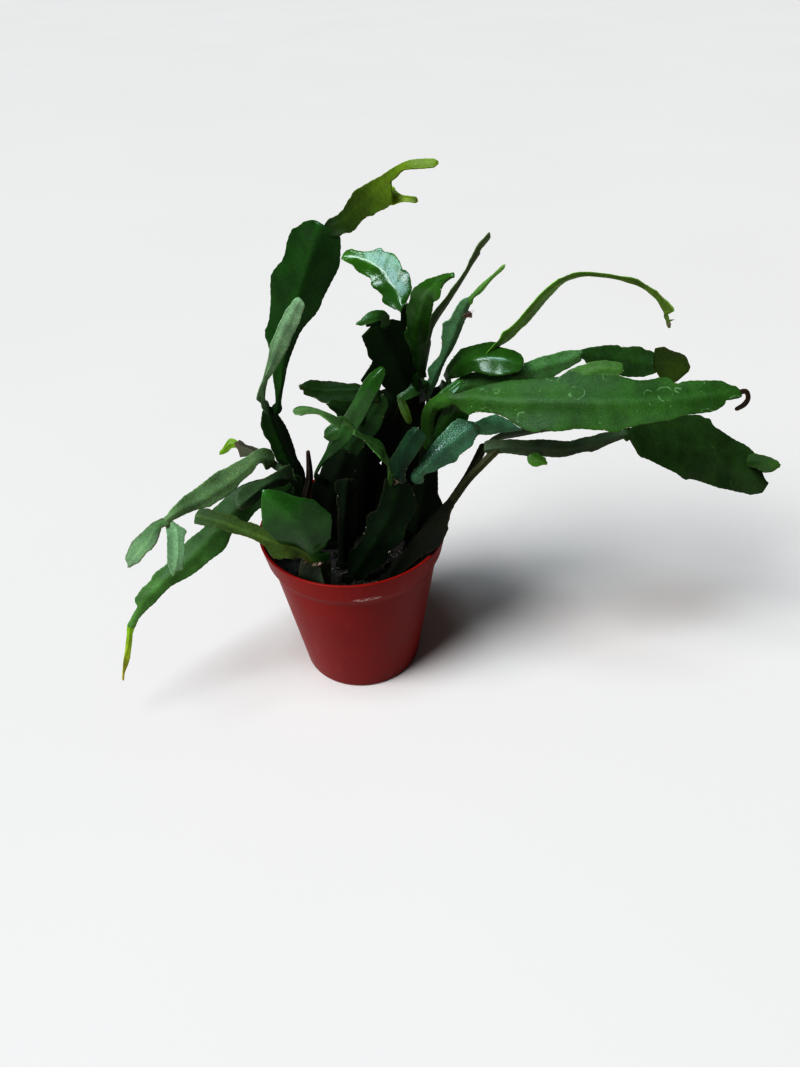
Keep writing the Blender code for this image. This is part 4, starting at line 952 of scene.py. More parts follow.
def pot_plastic():
    """Moulded brick-red plastic, a little rubbed, with one pale scuff and a few dull smudges."""
    g = Graph("pot_plastic")
    here = g.place()
    x, y, z = g.split(here)
    clouds = g.noise(here, 28.0, 5.0)
    streaks = g.noise(g.stretched(here, (260.0, 260.0, 30.0)), 1.0, 4.0)
    scratches = g.noise(g.stretched(here, (500.0, 500.0, 1800.0)), 1.0, 3.0)
    front = g.stretch(y, -0.030, -0.034)
    scuff = g.times(oval(g, x, z, (0.0066, 0.0722), (0.0070, 0.0014), (0.25, 1.1)),
                    g.stretch(scratches, 0.36, 0.62), front)
    smudge = g.times(oval(g, x, z, (0.0236, 0.034), (0.0045, 0.020), (0.3, 1.3)),
                     g.stretch(g.noise(here, 240.0, 4.0), 0.5, 0.66), front)
    blotched = g.times(g.stretch(z, 0.081, 0.070), g.stretch(g.noise(here, 300.0, 4.0), 0.42, 0.6))

    colour = g.mix(g.stretch(clouds, 0.3, 0.7), *POT_REDS)
    colour = g.mix(g.stretch(streaks, 0.58, 0.8, 0.0, 0.18), colour, POT_STREAK)
    colour = g.mix(g.times(g.stretch(z, 0.0, 0.012, 0.35, 0.0), clouds), colour, POT_FOOT_DIRT)
    colour = g.mix(g.times(scuff, 0.75), colour, SCUFF)
    colour = g.mix(g.times(smudge, 0.6), colour, SMUDGE)
    colour = g.mix(g.times(inside_wall(g, here), blotched, 0.6), colour, SOILED)

    g.bump(g.noise(here, 1400.0, 2.0), 0.12, 0.00012)
    rough = g.plus(g.stretch(clouds, 0.3, 0.7, 0.36, 0.46), g.times(scuff, 0.3))
    return g.finish(colour, rough, {"Specular IOR Level": UNDER_GLOSS})


def soil_earth():
    """Dark damp peat with paler bits."""
    g = Graph("soil_earth")
    here = g.place()
    clods = g.noise(here, 220.0, 6.0)
    colour = g.mix(g.stretch(clods, 0.35, 0.7), *PEATS)
    colour = g.mix(g.times(g.dots(here, 700.0, (0.2, 0.35), (0.86, 0.9)), 0.6), colour, PEAT_BIT)
    g.bump(g.plus(clods, g.noise(here, 1500.0, 4.0)), 0.9, 0.0006)
    return g.finish(colour, g.stretch(clods, 0.3, 0.7, 0.75, 0.95))


def hair_tan():
    """Pale dry root hairs."""
    g = Graph("fibre_tan")
    here = g.place()
    colour = g.mix(g.noise(here, 500.0, 3.0), *HAIR_TANS)
    g.bump(g.noise(here, 3000.0, 2.0), 0.4, 0.0001)
    return g.finish(colour, g.stretch(g.noise(here, 800.0, 2.0), 0.3, 0.7, 0.65, 0.85))


def areole_wool():
    """The buff felt and short bristles in the notches."""
    g = Graph("areole_wool")
    here = g.place()
    colour = g.mix(g.stretch(g.noise(here, 350.0, 3.0), 0.35, 0.65), *WOOLS)
    g.bump(g.noise(here, 4000.0, 3.0), 0.8, 0.0002)
    return g.finish(colour, g.stretch(g.noise(here, 1200.0, 2.0), 0.3, 0.7, 0.75, 0.95))


def cork():
    """Dry pinkish-brown cork over old cuts and broken tips."""
    g = Graph("cork")
    here = g.place()
    layers = g.noise(g.stretched(here, (500.0, 500.0, 1400.0)), 1.0, 5.0)
    colour = g.mix(g.stretch(layers, 0.35, 0.65), *CORKS)
    colour = g.mix(g.stretch(g.noise(here, 900.0, 3.0), 0.6, 0.75), colour, TORN_CORK)
    g.bump(layers, 0.9, 0.0005)
    return g.finish(colour, g.stretch(layers, 0.3, 0.7, 0.8, 0.95))


def plain_floor():
    g = Graph("plain_floor")
    return g.finish(g.mix(g.noise(g.place(), 3.0, 2.0), *FLOOR_TONES), 0.7)


def new_object(name, vertices, faces, finish, attributes=None):
    """A smooth mesh object from millimetres. attributes hold three numbers for each vertex."""
    mesh = bpy.data.meshes.new(name)
    mesh.from_pydata((np.asarray(vertices, float) * MM).tolist(), [], faces)
    mesh.materials.append(finish)
    corners = np.empty(len(mesh.loops), np.int32)
    mesh.loops.foreach_get("vertex_index", corners)
    for key, values in (attributes or {}).items():
        layer = mesh.attributes.new(key, "FLOAT_VECTOR", "CORNER")
        layer.data.foreach_set("vector", values[corners].astype(np.float32).ravel())
    mesh.shade_smooth()
    made = bpy.data.objects.new(name, mesh)
    bpy.context.scene.collection.objects.link(made)
    return made


def hand_over(made, node=None):
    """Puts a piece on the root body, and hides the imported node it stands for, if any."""
    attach(made, "root")
    if node:
        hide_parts(node)


def apply_boolean(target, tools, operation):
    """Joins or cuts target with every tool at once, and removes the tools."""
    collection = bpy.data.collections.new("tools")
    bpy.context.scene.collection.children.link(collection)
    for tool in tools:
        bpy.context.scene.collection.objects.unlink(tool)
        collection.objects.link(tool)
    modifier = target.modifiers.new("Boolean", "BOOLEAN")
    modifier.operation = operation
    modifier.operand_type = "COLLECTION"
    modifier.collection = collection
    modifier.solver = "MANIFOLD"
    bpy.context.view_layer.objects.active = target
    bpy.ops.object.modifier_apply(modifier=modifier.name)
    for tool in tools:
        bpy.data.objects.remove(tool)
    bpy.data.collections.remove(collection)


def sharpen(made, degrees):
    made.data.shade_smooth()
    made.data.set_sharp_from_angle(angle=math.radians(degrees))


def unit(vectors):
    return vectors / np.linalg.norm(vectors, axis=-1, keepdims=True)


def closed_tube(rings):
    """Vertices and outward faces of rings of points of equal count, closed at both ends by a fan."""
    rings = np.asarray(rings)
    count, around = rings.shape[:2]
    vertices = np.concatenate([rings.reshape(-1, 3), [rings[0].mean(0)], [rings[-1].mean(0)]])
    faces = []
    for k in range(count - 1):
        for i in range(around):
            j = (i + 1) % around
            faces.append((k * around + i, k * around + j, (k + 1) * around + j, (k + 1) * around + i))
    first, last = count * around, count * around + 1
    start = (count - 1) * around
    for i in range(around):
        j = (i + 1) % around
        faces.append((first, j, i))
        faces.append((last, start + i, start + j))
    return vertices, outward(vertices, faces)


def outward(vertices, faces):
    """The faces, turned over if they face inwards."""
    volume = 0.0
    for face in faces:
        a = vertices[face[0]]
        for b, c in zip(face[1:], face[2:]):
            volume += float(np.dot(a, np.cross(vertices[b], vertices[c])))
    return faces if volume > 0 else [tuple(reversed(face)) for face in faces]


def level_ring(radius, z, sides):
    """Points round a level circle about the pot's axis."""
    angles = np.linspace(0.0, 2 * np.pi, sides, endpoint=False)
    return np.stack([radius * np.cos(angles), radius * np.sin(angles), np.full(sides, z)], -1)


def spine_at(points, t):
    """A smooth curve through points, at each t from 0 to 1."""
    points = np.asarray(points, float)
    place = np.clip(t, 0.0, 1.0) * (len(points) - 1)
    i = np.minimum(place.astype(int), len(points) - 2)
    u = (place - i)[:, None]
    a, b = points[np.maximum(i - 1, 0)], points[i]
    c, d = points[i + 1], points[np.minimum(i + 2, len(points) - 1)]
    bend = 2 * a - 5 * b + 4 * c - d + u * (3 * (b - c) + d - a)
    return b + 0.5 * u * (c - a + u * bend)


def at_shares(points, shares):
    """The values of t at the given shares of the curve's length, and that length."""
    t = np.linspace(0.0, 1.0, SPINE_SAMPLES)
    walk = spine_at(points, t)[:, :3]
    reached = np.concatenate([[0.0], np.cumsum(np.linalg.norm(np.diff(walk, axis=0), axis=1))])
    return np.interp(shares * reached[-1], reached, t), reached[-1]


def spine_axes(pad, t, shares):
    """The directions across a pad and out of its face, at each t."""
    near = spine_at(pad.points, t - SPINE_NEAR)[:, :3]
    far = spine_at(pad.points, t + SPINE_NEAR)[:, :3]
    along = unit(far - near)
    view = np.array(VIEWED_FROM)
    face = unit(view - along * (along @ view)[:, None])
    turn = np.radians(pad.turn[0] + (pad.turn[1] - pad.turn[0]) * shares)[:, None]
    face = face * np.cos(turn) + np.cross(along, face) * np.sin(turn)
    return np.cross(along, face), face


def lobes(pad, shares, sign):
    """How far the margin stands out between its notches, from 0 to 1, on the side of that sign."""
    if not pad.teeth:
        return np.full(len(shares), 0.5)
    before = (shares + (0.5 / pad.teeth if sign > 0 else 0.0)) * pad.teeth
    return np.sin(np.pi * (before % 1.0) ** NOTCH_POWER)


def round_end(from_end):
    """The share of its width that a round end has, where from_end goes from 0 to 1 and on."""
    return np.sqrt(np.maximum(0.0, 1 - (1 - np.minimum(from_end, 1.0)) ** 2))


def camera_axes():
    """The camera's right, up and back directions, as the columns of a matrix."""
    down, lean = math.radians(CAMERA_DOWN), math.radians(CAMERA_LEAN)
    back = np.array((0.0, -math.cos(down), math.sin(down)))
    level = np.array((1.0, 0.0, 0.0))
    upright = np.cross(back, level)
    right = level * math.cos(lean) + upright * math.sin(lean)
    up = upright * math.cos(lean) - level * math.sin(lean)
    return np.stack([right, up, back], 1)


CAMERA_AXES = camera_axes()


def project(points):
    """Where points in millimetres fall in the photograph, in pixels."""
    seen = (points - np.array(CAMERA_PLACE)) @ CAMERA_AXES
    flat = seen[..., :2] / -seen[..., 2:] * FOCAL_PIXELS
    return flat * (1, -1) + (FRAME_WIDTH / 2, FRAME_HEIGHT / 2)


def reach_of_outline(outline, start, end):
    """How many times the way from each start to its end goes before it meets the outline, or nan."""
    outline = np.array(outline, float)
    first, step = outline[:-1], outline[1:] - outline[:-1]
    way = end - start
    across = way[:, None, 0] * step[None, :, 1] - way[:, None, 1] * step[None, :, 0]
    across = np.where(np.abs(across) < 1e-9, 1e-9, across)
    apart = first[None] - start[:, None]
    u = (apart[..., 0] * step[None, :, 1] - apart[..., 1] * step[None, :, 0]) / across
    v = (apart[..., 0] * way[:, None, 1] - apart[..., 1] * way[:, None, 0]) / across
    u = np.where((u > 0.02) & (v >= 0) & (v <= 1), u, np.inf).min(1)
    return np.where(u < WIDEST_REACH, u, np.nan)


def filled(values, wanted):
    """Rings that miss the outline take wanted, and the ones next to them go over to it smoothly."""
    gaps = np.isnan(values)
    values = np.where(gaps, wanted, values)
    near_gap = np.convolve(np.pad(gaps, 2, mode="edge"), np.ones(5), "valid") > 0
    for _ in range(BLEND_ROUNDS):
        padded = np.pad(values, 1, mode="edge")
        smooth = (padded[:-2] + 2 * padded[1:-1] + padded[2:]) / 4
        values = np.where(near_gap, smooth, values)
    return values


def fold_lift(x):
    """How far a fold of 1 lifts a point that lies x across the pad."""
    return np.sqrt(x ** 2 + FOLD_ROUND) - math.sqrt(FOLD_ROUND)


class Blade:
    """The shape of one pad: its spine, axes and the half width on each side at every ring."""

    def __init__(self, pad, outline):
        self.pad = pad
        self.widest = max(point[3] for point in pad.points)
        self.length = at_shares(pad.points, np.array([0.0]))[1]
        rings = max(LEAST_RINGS, math.ceil(self.length / RING_STEP))
        even = np.linspace(0.0, 1.0, rings + 1)
        crowded = (1 - np.cos(np.pi * even)) / 2
        self.shares = (1 - CROWDING) * even + CROWDING * crowded
        t = at_shares(pad.points, self.shares)[0]
        curve = spine_at(pad.points, t)
        self.centre, width = curve[:, :3], curve[:, 3]
        self.side, self.face = spine_axes(pad, t, self.shares)
        to_root = self.shares * self.length / (pad.points[0][3] / 2)
        to_tip = (1 - self.shares) * self.length / (pad.points[-1][3] / 2)
        self.end = round_end(np.minimum(to_root, to_tip))
        self.half = {sign: self.margin(sign, width / 2, outline) for sign in (-1, 1)}
        self.notches = {sign: self.find_notches(sign, bool(outline)) for sign in (-1, 1)}

    def margin(self, sign, half, outline):
        """The half width on one side: what the outline shows, or else the pad's own, with teeth."""
        wave = self.pad.tooth * (lobes(self.pad, self.shares, sign) - 0.5)
        plain = np.maximum(LEAST_HALF, (half + wave) * self.end)
        if not outline:
            return plain
        edge = self.centre + (self.side * sign + self.face * self.pad.fold) * half[:, None]
        start, end = project(self.centre), project(edge)
        seen = np.linalg.norm(end - start, axis=1) / (half * PIXELS_PER_MM)
        reach = np.where(seen < LEAST_SEEN, np.nan, reach_of_outline(outline, start, end))
        blunt = round_end(np.minimum(self.shares, 1 - self.shares) * self.length / END_RADIUS)
        followed = filled(reach * half, plain)
        return np.maximum(LEAST_HALF, np.where(np.isnan(reach), followed, followed * blunt))

    def find_notches(self, sign, followed):
        """The shares of the length where the margin dips, or where the teeth meet."""
        if not followed:
            shift = 0.5 if sign > 0 else 0.0
            found = [(n - shift) / self.pad.teeth for n in range(1, self.pad.teeth + 1)]
            return [share for share in found if FIRST_NOTCH < share < LAST_NOTCH]
        half, found = self.half[sign], []
        reach = max(2, round(NOTCH_REACH / RING_STEP))
        for k in range(reach, len(half) - reach):
            around = half[k - reach:k + reach + 1]
            line = np.linspace(around[0], around[-1], len(around))
            dip = line[reach] - half[k]
            lowest = dip > NOTCH_DIP and half[k] == around[1:-1].min()
            deepest = dip > 2 * NOTCH_DIP and np.argmax(line - around) == reach
            if lowest or deepest:
                found.append(float(self.shares[k]))
        return found

    def point(self, share, across):
        """A point on the pad, with the directions across it, out of its face and along it."""
        k = int(np.argmin(np.abs(self.shares - share)))
        half = float(self.half[1 if across > 0 else -1][k])
        side, face = self.side[k], self.face[k]
        lift = self.pad.fold * fold_lift(across * half)
        return self.centre[k] + side * across * half + face * lift, side, face, np.cross(face, side)


def section_places(columns):
    """Round a section: how far across the flat part, and the angle round the edge, of each point."""
    flat = np.linspace(-1.0, 1.0, columns)
    angles = np.radians(EDGE_ANGLES)
    across = np.concatenate([flat, np.ones(len(angles)), flat[::-1], -np.ones(len(angles))])
    turned = np.concatenate([np.zeros(columns), angles, np.full(columns, np.pi), angles[::-1]])
    return across, turned


def side_veins(blade, across, share, half, reach):
    """How close a vein to a notch runs to each point, and how far the skin sinks there."""
    vein, sunk = np.zeros_like(reach), np.zeros_like(reach)
    for sign in (-1, 1):
        body = np.clip(1 - reach ** 2, 0.0, 1.0) * np.clip(half / 5.0, 0.0, 1.0) * (across * sign > 0)
        apart = np.full_like(reach, np.inf)
        for notch in blade.notches[sign]:
            slanted = share + VEIN_SLANT * half / blade.length * (1 - reach) ** 1.3
            apart = np.minimum(apart, np.abs(slanted - notch) * blade.length)
        vein += np.exp(-((apart / VEIN_WIDTH) ** 2)) * body
        sunk += QUILT_DEPTH * np.exp(-((apart / QUILT_WIDTH) ** 2)) * body
    return vein, sunk


def pad_attributes(look, shape):
    """What a look has all over its pad, for the material to read."""
    same = {"coat": (look.rough, look.dust, look.rim), "marks": (look.pale, look.rings, look.grain)}
    return {key: np.broadcast_to(np.array(numbers, float), (*shape, 3)) for key, numbers in same.items()}


def blade_mesh(blade, seed):
    """Vertices, faces and attributes of one pad."""
    pad, length = blade.pad, blade.length
    look = LOOKS[pad.look]
    across, turned = section_places(WIDE_COLUMNS if blade.widest >= NARROW else NARROW_COLUMNS)
    share = blade.shares[:, None] + 0 * across
    end = blade.end[:, None]
    half = np.where(across > 0, blade.half[1][:, None], blade.half[-1][:, None])
    drift = np.sin(share * length * 2.1 + seed + across) + 0.6 * np.sin(share * length * 4.7 + 2.1 * seed)
    half = half + RAGGED * drift * np.clip(half / 4, 0, 1) * end

    slim = np.clip(half / 3.0, 0.35, 1.0)
    edge = np.minimum(EDGE * slim, half * 0.5)
    x = across * (half - edge + edge * np.sin(turned))
    reach = np.clip(np.abs(x) / half, 0.0, 1.0)
    vein, sunk = side_veins(blade, across, share, half, reach)
    rib_width = np.clip(0.14 * blade.widest, 0.6, 3.0)
    rib = max(pad.rib * RIB_SHARE - LAMINA, 0.1) * np.exp(-((x / rib_width) ** 2))
    flat_part = (LAMINA + (EDGE - LAMINA) * reach ** 1.5) * slim - sunk
    on_edge = np.sin(turned) > 1e-6
    thick = np.where(on_edge, edge * np.abs(np.cos(turned)), (flat_part + rib) * end ** 0.5)
    thick = thick * np.where(np.cos(turned) >= 0, 1.0, -1.0)
    swell = np.sin(share * (6.0 + 2 * pad.teeth) + seed + across) * SWELL * half * reach ** 2 * end
    lift = pad.fold * fold_lift(x) + swell
    points = (blade.centre[:, None] + blade.side[:, None] * x[..., None]
              + blade.face[:, None] * (lift + thick)[..., None])

    midrib = np.exp(-((x / (rib_width * 0.5)) ** 2)) * np.clip(half / 3.0, 0.3, 1.0)
    fade = (share ** 1.3)[..., None]
    attributes = {
        "place": np.stack([x, share * length, half - np.abs(x)], -1),
        "form": np.stack([np.maximum(midrib, 0.5 * vein) * look.vein, (thick < 0) + 0.0, share], -1),
        "tint": np.array(look.root) * (1 - fade) + np.array(look.tip) * fade,
        **pad_attributes(look, x.shape),
    }
    for key, values in attributes.items():
        attributes[key] = np.concatenate([values.reshape(-1, 3), [values[0].mean(0), values[-1].mean(0)]])
    return *closed_tube(points), attributes


def foot_mesh(stem):
    """The buried foot of a stem, which narrows above the soil."""
    look = LOOKS[stem.pads[0].look]
    spin = math.radians(stem.root_turn)
    cosine, sine = math.cos(spin), math.sin(spin)
    turn = np.array([[cosine, sine, 0.0], [-sine, cosine, 0.0], [0.0, 0.0, 1.0]])
    size = (stem.root_width / 2, ROOT_THICKNESS / 2, 1.0)
    rings = [level_ring(share, z, ROOT_SIDES) * size @ turn + (*stem.root, 0.0) for z, share in ROOT_LEVELS]
    vertices, faces = closed_tube(rings)
    shape = (len(vertices),)
    attributes = {
        "place": np.tile((0.0, 0.0, 3.0), (*shape, 1)),
        "form": np.zeros((*shape, 3)),
        "tint": np.tile(look.root, (*shape, 1)),
        **pad_attributes(look, shape),
    }
    return vertices, faces, attributes


def short_name(stem):
    return stem.name.removesuffix("_stem")


def build_stem(stem, blades, finish):
    """A fine stem: its foot and pads, joined into one closed body."""
    vertices, faces, attributes = foot_mesh(stem)
    made = new_object(short_name(stem) + "_pads", vertices, faces, finish, attributes)
    pads = []
    for k, blade in enumerate(blades):
        vertices, faces, attributes = blade_mesh(blade, 1.7 * k + stem.root[0])
        pads.append(new_object("pad", vertices, faces, finish, attributes))
    apply_boolean(made, pads, "UNION")
    sharpen(made, SHARP_ANGLE)
    hand_over(made, stem.name)


class Heap:
    """Many small closed shapes gathered into one mesh."""

    def __init__(self):
        self.vertices = []
        self.faces = []

    def add(self, vertices, faces):
        start = len(self.vertices)
        self.vertices += [tuple(v) for v in vertices]
        self.faces += [tuple(start + i for i in face) for face in faces]

    def build(self, name, finish):
        hand_over(new_object(name, self.vertices, self.faces, finish))


def ball(fineness):
    """Vertices and triangles of a ball of radius 1, made from an icosahedron split fineness times."""
    golden = (1 + math.sqrt(5)) / 2
    points = []
    for a, b in ((1, golden), (-1, golden), (1, -golden), (-1, -golden)):
        points += [(a, b, 0), (0, a, b), (b, 0, a)]
    points = [Vector(p).normalized() for p in points]
    edge = min((points[0] - p).length for p in points[1:]) * 1.01
    faces = []
    for i in range(12):
        for j in range(i + 1, 12):
            for k in range(j + 1, 12):
                a, b, c = points[i], points[j], points[k]
                if max((a - b).length, (b - c).length, (a - c).length) < edge:
                    out = (b - a).cross(c - a).dot(a) > 0
                    faces.append((i, j, k) if out else (i, k, j))
    for _ in range(fineness):
        middles, split = {}, []

        def middle(i, j):
            key = (min(i, j), max(i, j))
            if key not in middles:
                middles[key] = len(points)
                points.append(((points[i] + points[j]) / 2).normalized())
            return middles[key]

        for a, b, c in faces:
            ab, bc, ca = middle(a, b), middle(b, c), middle(c, a)
            split += [(a, ab, ca), (ab, b, bc), (ca, bc, c), (ab, bc, ca)]
        faces = split
    return points, faces


def lump(shape, centre, axes, sizes, roughness, seed):
    """A ball stretched along three axes and made uneven."""
    points, faces = shape
    offset = Vector((seed * 3.1, seed * 1.7, seed * 0.9))
    vertices = []
    for p in points:
        swell = 1 + roughness * (noise.noise(p * 1.6 + offset) + 0.5 * noise.noise(p * 4.1 + offset))
        moved = sum((Vector(a) * (c * s * swell) for a, c, s in zip(axes, p, sizes)), Vector(centre))
        vertices.append(moved)
    return vertices, faces


def cross_ring(middle, across, up, radius, sides):
    """Points round a circle about middle, in the plane of across and up."""
    angles = [2 * math.pi * i / sides for i in range(sides)]
    return [middle + across * (radius * math.cos(a)) + up * (radius * math.sin(a)) for a in angles]


def bristle(start, direction, bend, length, radius, steps=4, sides=5):
    """A thin curved cone."""
    start, direction, bend = Vector(start), Vector(direction).normalized(), Vector(bend)
    across = direction.orthogonal().normalized()
    up = direction.cross(across)
    rings = []
    for k in range(steps + 1):
        u = k / steps
        middle = start + direction * (length * u) + bend * (length * u * u)
        rings.append(cross_ring(middle, across, up, radius * (1 - u) ** 0.7 + 0.008, sides))
    return closed_tube(rings)


def areole_places(blade):
    """The share of the length and the side of every notch, and the tip."""
    for sign in (-1, 1):
        for share in blade.notches[sign]:
            yield share, sign
    yield TIP_SHARE, 0


def build_areoles(stem, blades, finish, draw):
    """A woolly cushion and a few bristles in each notch of a stem."""
    heap = Heap()
    shape = ball(1)
    for blade in blades:
        look = LOOKS[blade.pad.look]
        if look.wool == 0:
            continue
        for share, sign in areole_places(blade):
            middle, side, face, along = blade.point(share, 0.985 * sign if sign else 0.0)
            out = side * sign if sign else along
            size = (0.2 + 0.2 * look.wool) * min(1.0, 0.5 + blade.widest / 25) * draw.uniform(0.75, 1.25)
            sizes = (size * 0.8, size * 0.75, size * (1.5 if sign else 1.0))
            axes = (out, face, along) if sign else (out, face, side)
            heap.add(*lump(shape, middle, axes, sizes, 0.5, draw.uniform(0, 50)))
            for _ in range(round(1 + 2.4 * look.wool * draw.random())):
                lean = out + along * draw.uniform(0.1, 1.1) + face * draw.uniform(-0.6, 0.6)
                droop = face * draw.uniform(-0.3, 0.3)
                length = size * draw.uniform(1.2, 3.2)
                heap.add(*bristle(middle, lean, droop, length, 0.045))
    if heap.faces:
        heap.build(short_name(stem) + "_areoles", finish)


def build_scars(all_blades, finish, draw):
    """Corky lumps with torn fibres over old cuts and broken tips."""
    heap = Heap()
    shape = ball(2)
    for name, index, share, across, size in SCARS:
        middle, side, face, along = all_blades[name][index].point(share, across)
        for _ in range(4):
            centre = middle + side * draw.uniform(-0.45, 0.45) * size + along * draw.uniform(-0.3, 0.1) * size
            wide, deep, tall = draw.uniform(0.35, 0.6), draw.uniform(0.3, 0.45), draw.uniform(0.2, 0.4)
            sizes = (size * wide, size * deep, size * tall)
            heap.add(*lump(shape, centre, (side, face, along), sizes, 0.75, draw.uniform(0, 90)))
        for _ in range(9):
            start = middle + side * draw.uniform(-0.6, 0.6) * size + face * draw.uniform(-0.25, 0.25) * size
            lean = along + side * draw.uniform(-0.9, 0.9) + face * draw.uniform(-0.7, 0.7)
            length = size * draw.uniform(0.35, 0.85)
            heap.add(*bristle(start, lean, face * draw.uniform(-0.4, 0.4), length, 0.09))
    heap.build("cork_scars", finish)


def rounded(outline, radius, steps=6):
    """An outline of (radius, height) points with its corners cut to smooth curves."""
    found = [outline[0]]
    for before, corner, after in zip(outline, outline[1:], outline[2:]):
        before, corner, after = (Vector(p) for p in (before, corner, after))
        back, on = before - corner, after - corner
        cut = min(radius, back.length * 0.45, on.length * 0.45)
        start, end = corner + back.normalized() * cut, corner + on.normalized() * cut
        for k in range(steps + 1):
            u = k / steps
            found.append(tuple(start * (1 - u) ** 2 + corner * (2 * u * (1 - u)) + end * u ** 2))
    return [*found, outline[-1]]


def lathe(name, outline, sides, finish):
    """A closed body turned from an outline that starts and ends near the axis."""
    return new_object(name, *closed_tube([level_ring(r, z, sides) for r, z in outline]), finish)


def build_pot(finish):
    """The pot: one thin moulded wall with a stepped collar, a rounded lip and holes in its foot."""
    collar = [(radius, COLLAR_FOOT + height) for radius, height in COLLAR_STEPS]
    outside = [(CENTRE_RADIUS, 0.0), (FOOT_RADIUS, 0.0), *collar, (POT_RADIUS, POT_HEIGHT)]
    inside = [(radius - WALL, max(height, FLOOR_TOP)) for radius, height in outside[:0:-1]]
    outline = rounded([*outside, *inside, (CENTRE_RADIUS, FLOOR_TOP)], CORNER_CUT)
    pot = lathe("pot_shell", outline, POT_SIDES, finish)
    drains = []
    for k in range(DRAIN_COUNT):
        angle = 2 * math.pi * (k + 0.5) / DRAIN_COUNT
        drain = lathe("drain", [(DRAIN_RADIUS, -1.0), (DRAIN_RADIUS, FLOOR_TOP + 1.0)], DRAIN_SIDES, finish)
        shift = Vector((math.cos(angle), math.sin(angle), 0.0)) * DRAIN_CIRCLE * MM
        drain.data.transform(Matrix.Translation(shift))
        drains.append(drain)
    apply_boolean(pot, drains, "DIFFERENCE")
    sharpen(pot, POT_SHARP_ANGLE)
    hand_over(pot, "pot")


def soil_height(x, y):
    """The soil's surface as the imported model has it, with small clods on it."""
    reach = math.hypot(x, y) / BODY_TOP_RADIUS
    waves = sum(share * math.sin(a * x + b * y + phase) for a, b, phase, share in SOIL_WAVES)
    clods = noise.noise(Vector((x, y, 3.0)) * 0.35) * 0.8 + noise.noise(Vector((x, y, 9.0)) * 1.1) * 0.45
    return SOIL_TOP + SOIL_RELIEF * waves - SOIL_CROWN * reach * reach + clods


def build_soil(finish):
    """The soil plug with its crumbly top."""
    foot, bottom = FOOT_RADIUS - WALL - SOIL_GAP, FLOOR_TOP + SOIL_GAP
    levels = ((0.4 * foot, bottom), (foot, bottom), (SOIL_RADIUS - SOIL_GAP, SOIL_WALL_TOP))
    rings = [level_ring(radius, z, SOIL_SIDES) for radius, z in levels]
    for k in range(SOIL_RINGS):
        ring = level_ring(SOIL_RADIUS * (1 - k / SOIL_RINGS), 0.0, SOIL_SIDES)
        ring[:, 2] = [soil_height(x, y) for x, y, _ in ring]
        rings.append(ring)
    hand_over(new_object("soil_plug", *closed_tube(rings), finish), "soil")


def build_crumbs(finish, draw):
    """Uneven crumbs that lie all over the soil."""
    heap = Heap()
    shapes = (ball(1), ball(2))
    for _ in range(CRUMBS):
        radius = (SOIL_RADIUS - 1.5) * math.sqrt(draw.random())
        angle = draw.uniform(0, 2 * math.pi)
        x, y = radius * math.cos(angle), radius * math.sin(angle)
        size = 0.35 + 1.25 * draw.random() ** 3
        sizes = [size * draw.uniform(0.6, 1.2) for _ in range(3)]
        spin = draw.uniform(0, math.pi)
        axes = ((math.cos(spin), math.sin(spin), 0.1), (-math.sin(spin), math.cos(spin), -0.1), (0, 0.1, 1))
        centre = (x, y, soil_height(x, y) + 0.25 * size)
        shape = shapes[1] if size > 0.9 else shapes[0]
        heap.add(*lump(shape, centre, axes, sizes, 0.8, draw.uniform(0, 99)))
    heap.build("soil_crumbs", finish)


def build_hairs(finish, draw):
    """Loose root hairs that lie on the soil, most of them at the front."""
    heap = Heap()
    for k in range(HAIRS):
        radius = (SOIL_RADIUS - 5) * math.sqrt(draw.uniform(0.2, 1.0))
        angle = draw.uniform(-2.4, -0.6) if k % 3 else draw.uniform(0, 2 * math.pi)
        heading = draw.uniform(0, 2 * math.pi)
        turning = draw.uniform(-0.45, 0.45)
        x, y = radius * math.cos(angle), radius * math.sin(angle)
        rings = []
        for step in range(draw.randint(7, 14)):
            if math.hypot(x, y) > SOIL_RADIUS - 1:
                break
            middle = Vector((x, y, soil_height(x, y) + 0.35 + 0.5 * math.sin(step * 0.7 + k)))
            across = Vector((-math.sin(heading), math.cos(heading), 0.0))
            rings.append(cross_ring(middle, across, Vector((0, 0, 1)), HAIR_RADIUS, 6))
            x += HAIR_STEP * math.cos(heading)
            y += HAIR_STEP * math.sin(heading)
            heading += turning
        if len(rings) > 3:
            heap.add(*closed_tube(rings))
    heap.build("root_hairs", finish)


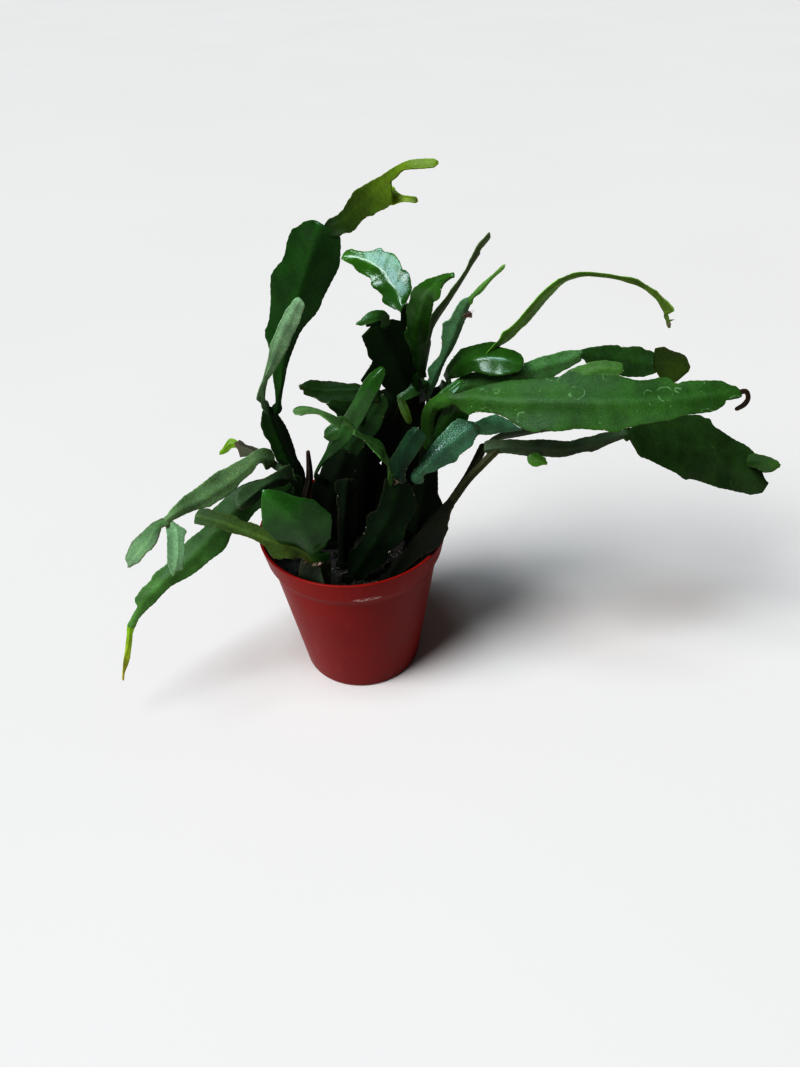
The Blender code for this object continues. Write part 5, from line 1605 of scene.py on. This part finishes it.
def add_camera():
    data = bpy.data.cameras.new("camera")
    data.sensor_width = SENSOR
    data.lens = SENSOR * FOCAL_PIXELS / FRAME_HEIGHT
    data.clip_start = 0.01
    made = bpy.data.objects.new("camera", data)
    bpy.context.scene.collection.objects.link(made)
    turned = Matrix(CAMERA_AXES.tolist()).to_4x4()
    made.matrix_world = Matrix.Translation(Vector(CAMERA_PLACE) * MM) @ turned
    bpy.context.scene.camera = made


def add_light(name, place, width, strength, colour):
    """A far soft light that shines from the side of place. width is how wide it looks, in degrees."""
    data = bpy.data.lights.new(name, "SUN")
    data.energy = strength
    data.angle = math.radians(width)
    data.color = colour
    made = bpy.data.objects.new(name, data)
    bpy.context.scene.collection.objects.link(made)
    made.location = place
    made.rotation_mode = "QUATERNION"
    made.rotation_quaternion = (-Vector(place)).to_track_quat("-Z", "Y")


def add_floor():
    mesh = bpy.data.meshes.new("floor")
    corners = [(x * FLOOR_REACH, y * FLOOR_REACH, 0) for x, y in ((-1, -1), (1, -1), (1, 1), (-1, 1))]
    mesh.from_pydata(corners, [], [(0, 1, 2, 3)])
    mesh.materials.append(plain_floor())
    floor = bpy.data.objects.new("floor", mesh)
    bpy.context.scene.collection.objects.link(floor)


def add_studio():
    """A plain pale floor, soft daylight from the left in front, and a weaker light from high above."""
    add_floor()
    add_light("window", *WINDOW)
    add_light("sky", *SKY)
    world = bpy.data.worlds.new("studio")
    world.use_nodes = True
    background = world.node_tree.nodes["Background"]
    background.inputs["Color"].default_value = ROOM_COLOUR
    background.inputs["Strength"].default_value = ROOM_STRENGTH
    bpy.context.scene.world = world
    bpy.context.scene.view_settings.view_transform = "Standard"
    bpy.context.scene.view_settings.look = "High Contrast"


def build_all():
    draw = random.Random(SEED)
    green, dead_wood, wool = pad_skin(), cork(), areole_wool()
    all_blades = {}
    for stem in STEMS:
        blades = [Blade(pad, OUTLINES.get((stem.name, k))) for k, pad in enumerate(stem.pads)]
        all_blades[stem.name] = blades
        build_stem(stem, blades, green)
        build_areoles(stem, blades, wool, draw)
    build_scars(all_blades, dead_wood, draw)
    build_pot(pot_plastic())
    earth = soil_earth()
    build_soil(earth)
    build_crumbs(earth, draw)
    build_hairs(hair_tan(), draw)


build_all()
add_studio()
add_camera()
bpy.context.view_layer.update()
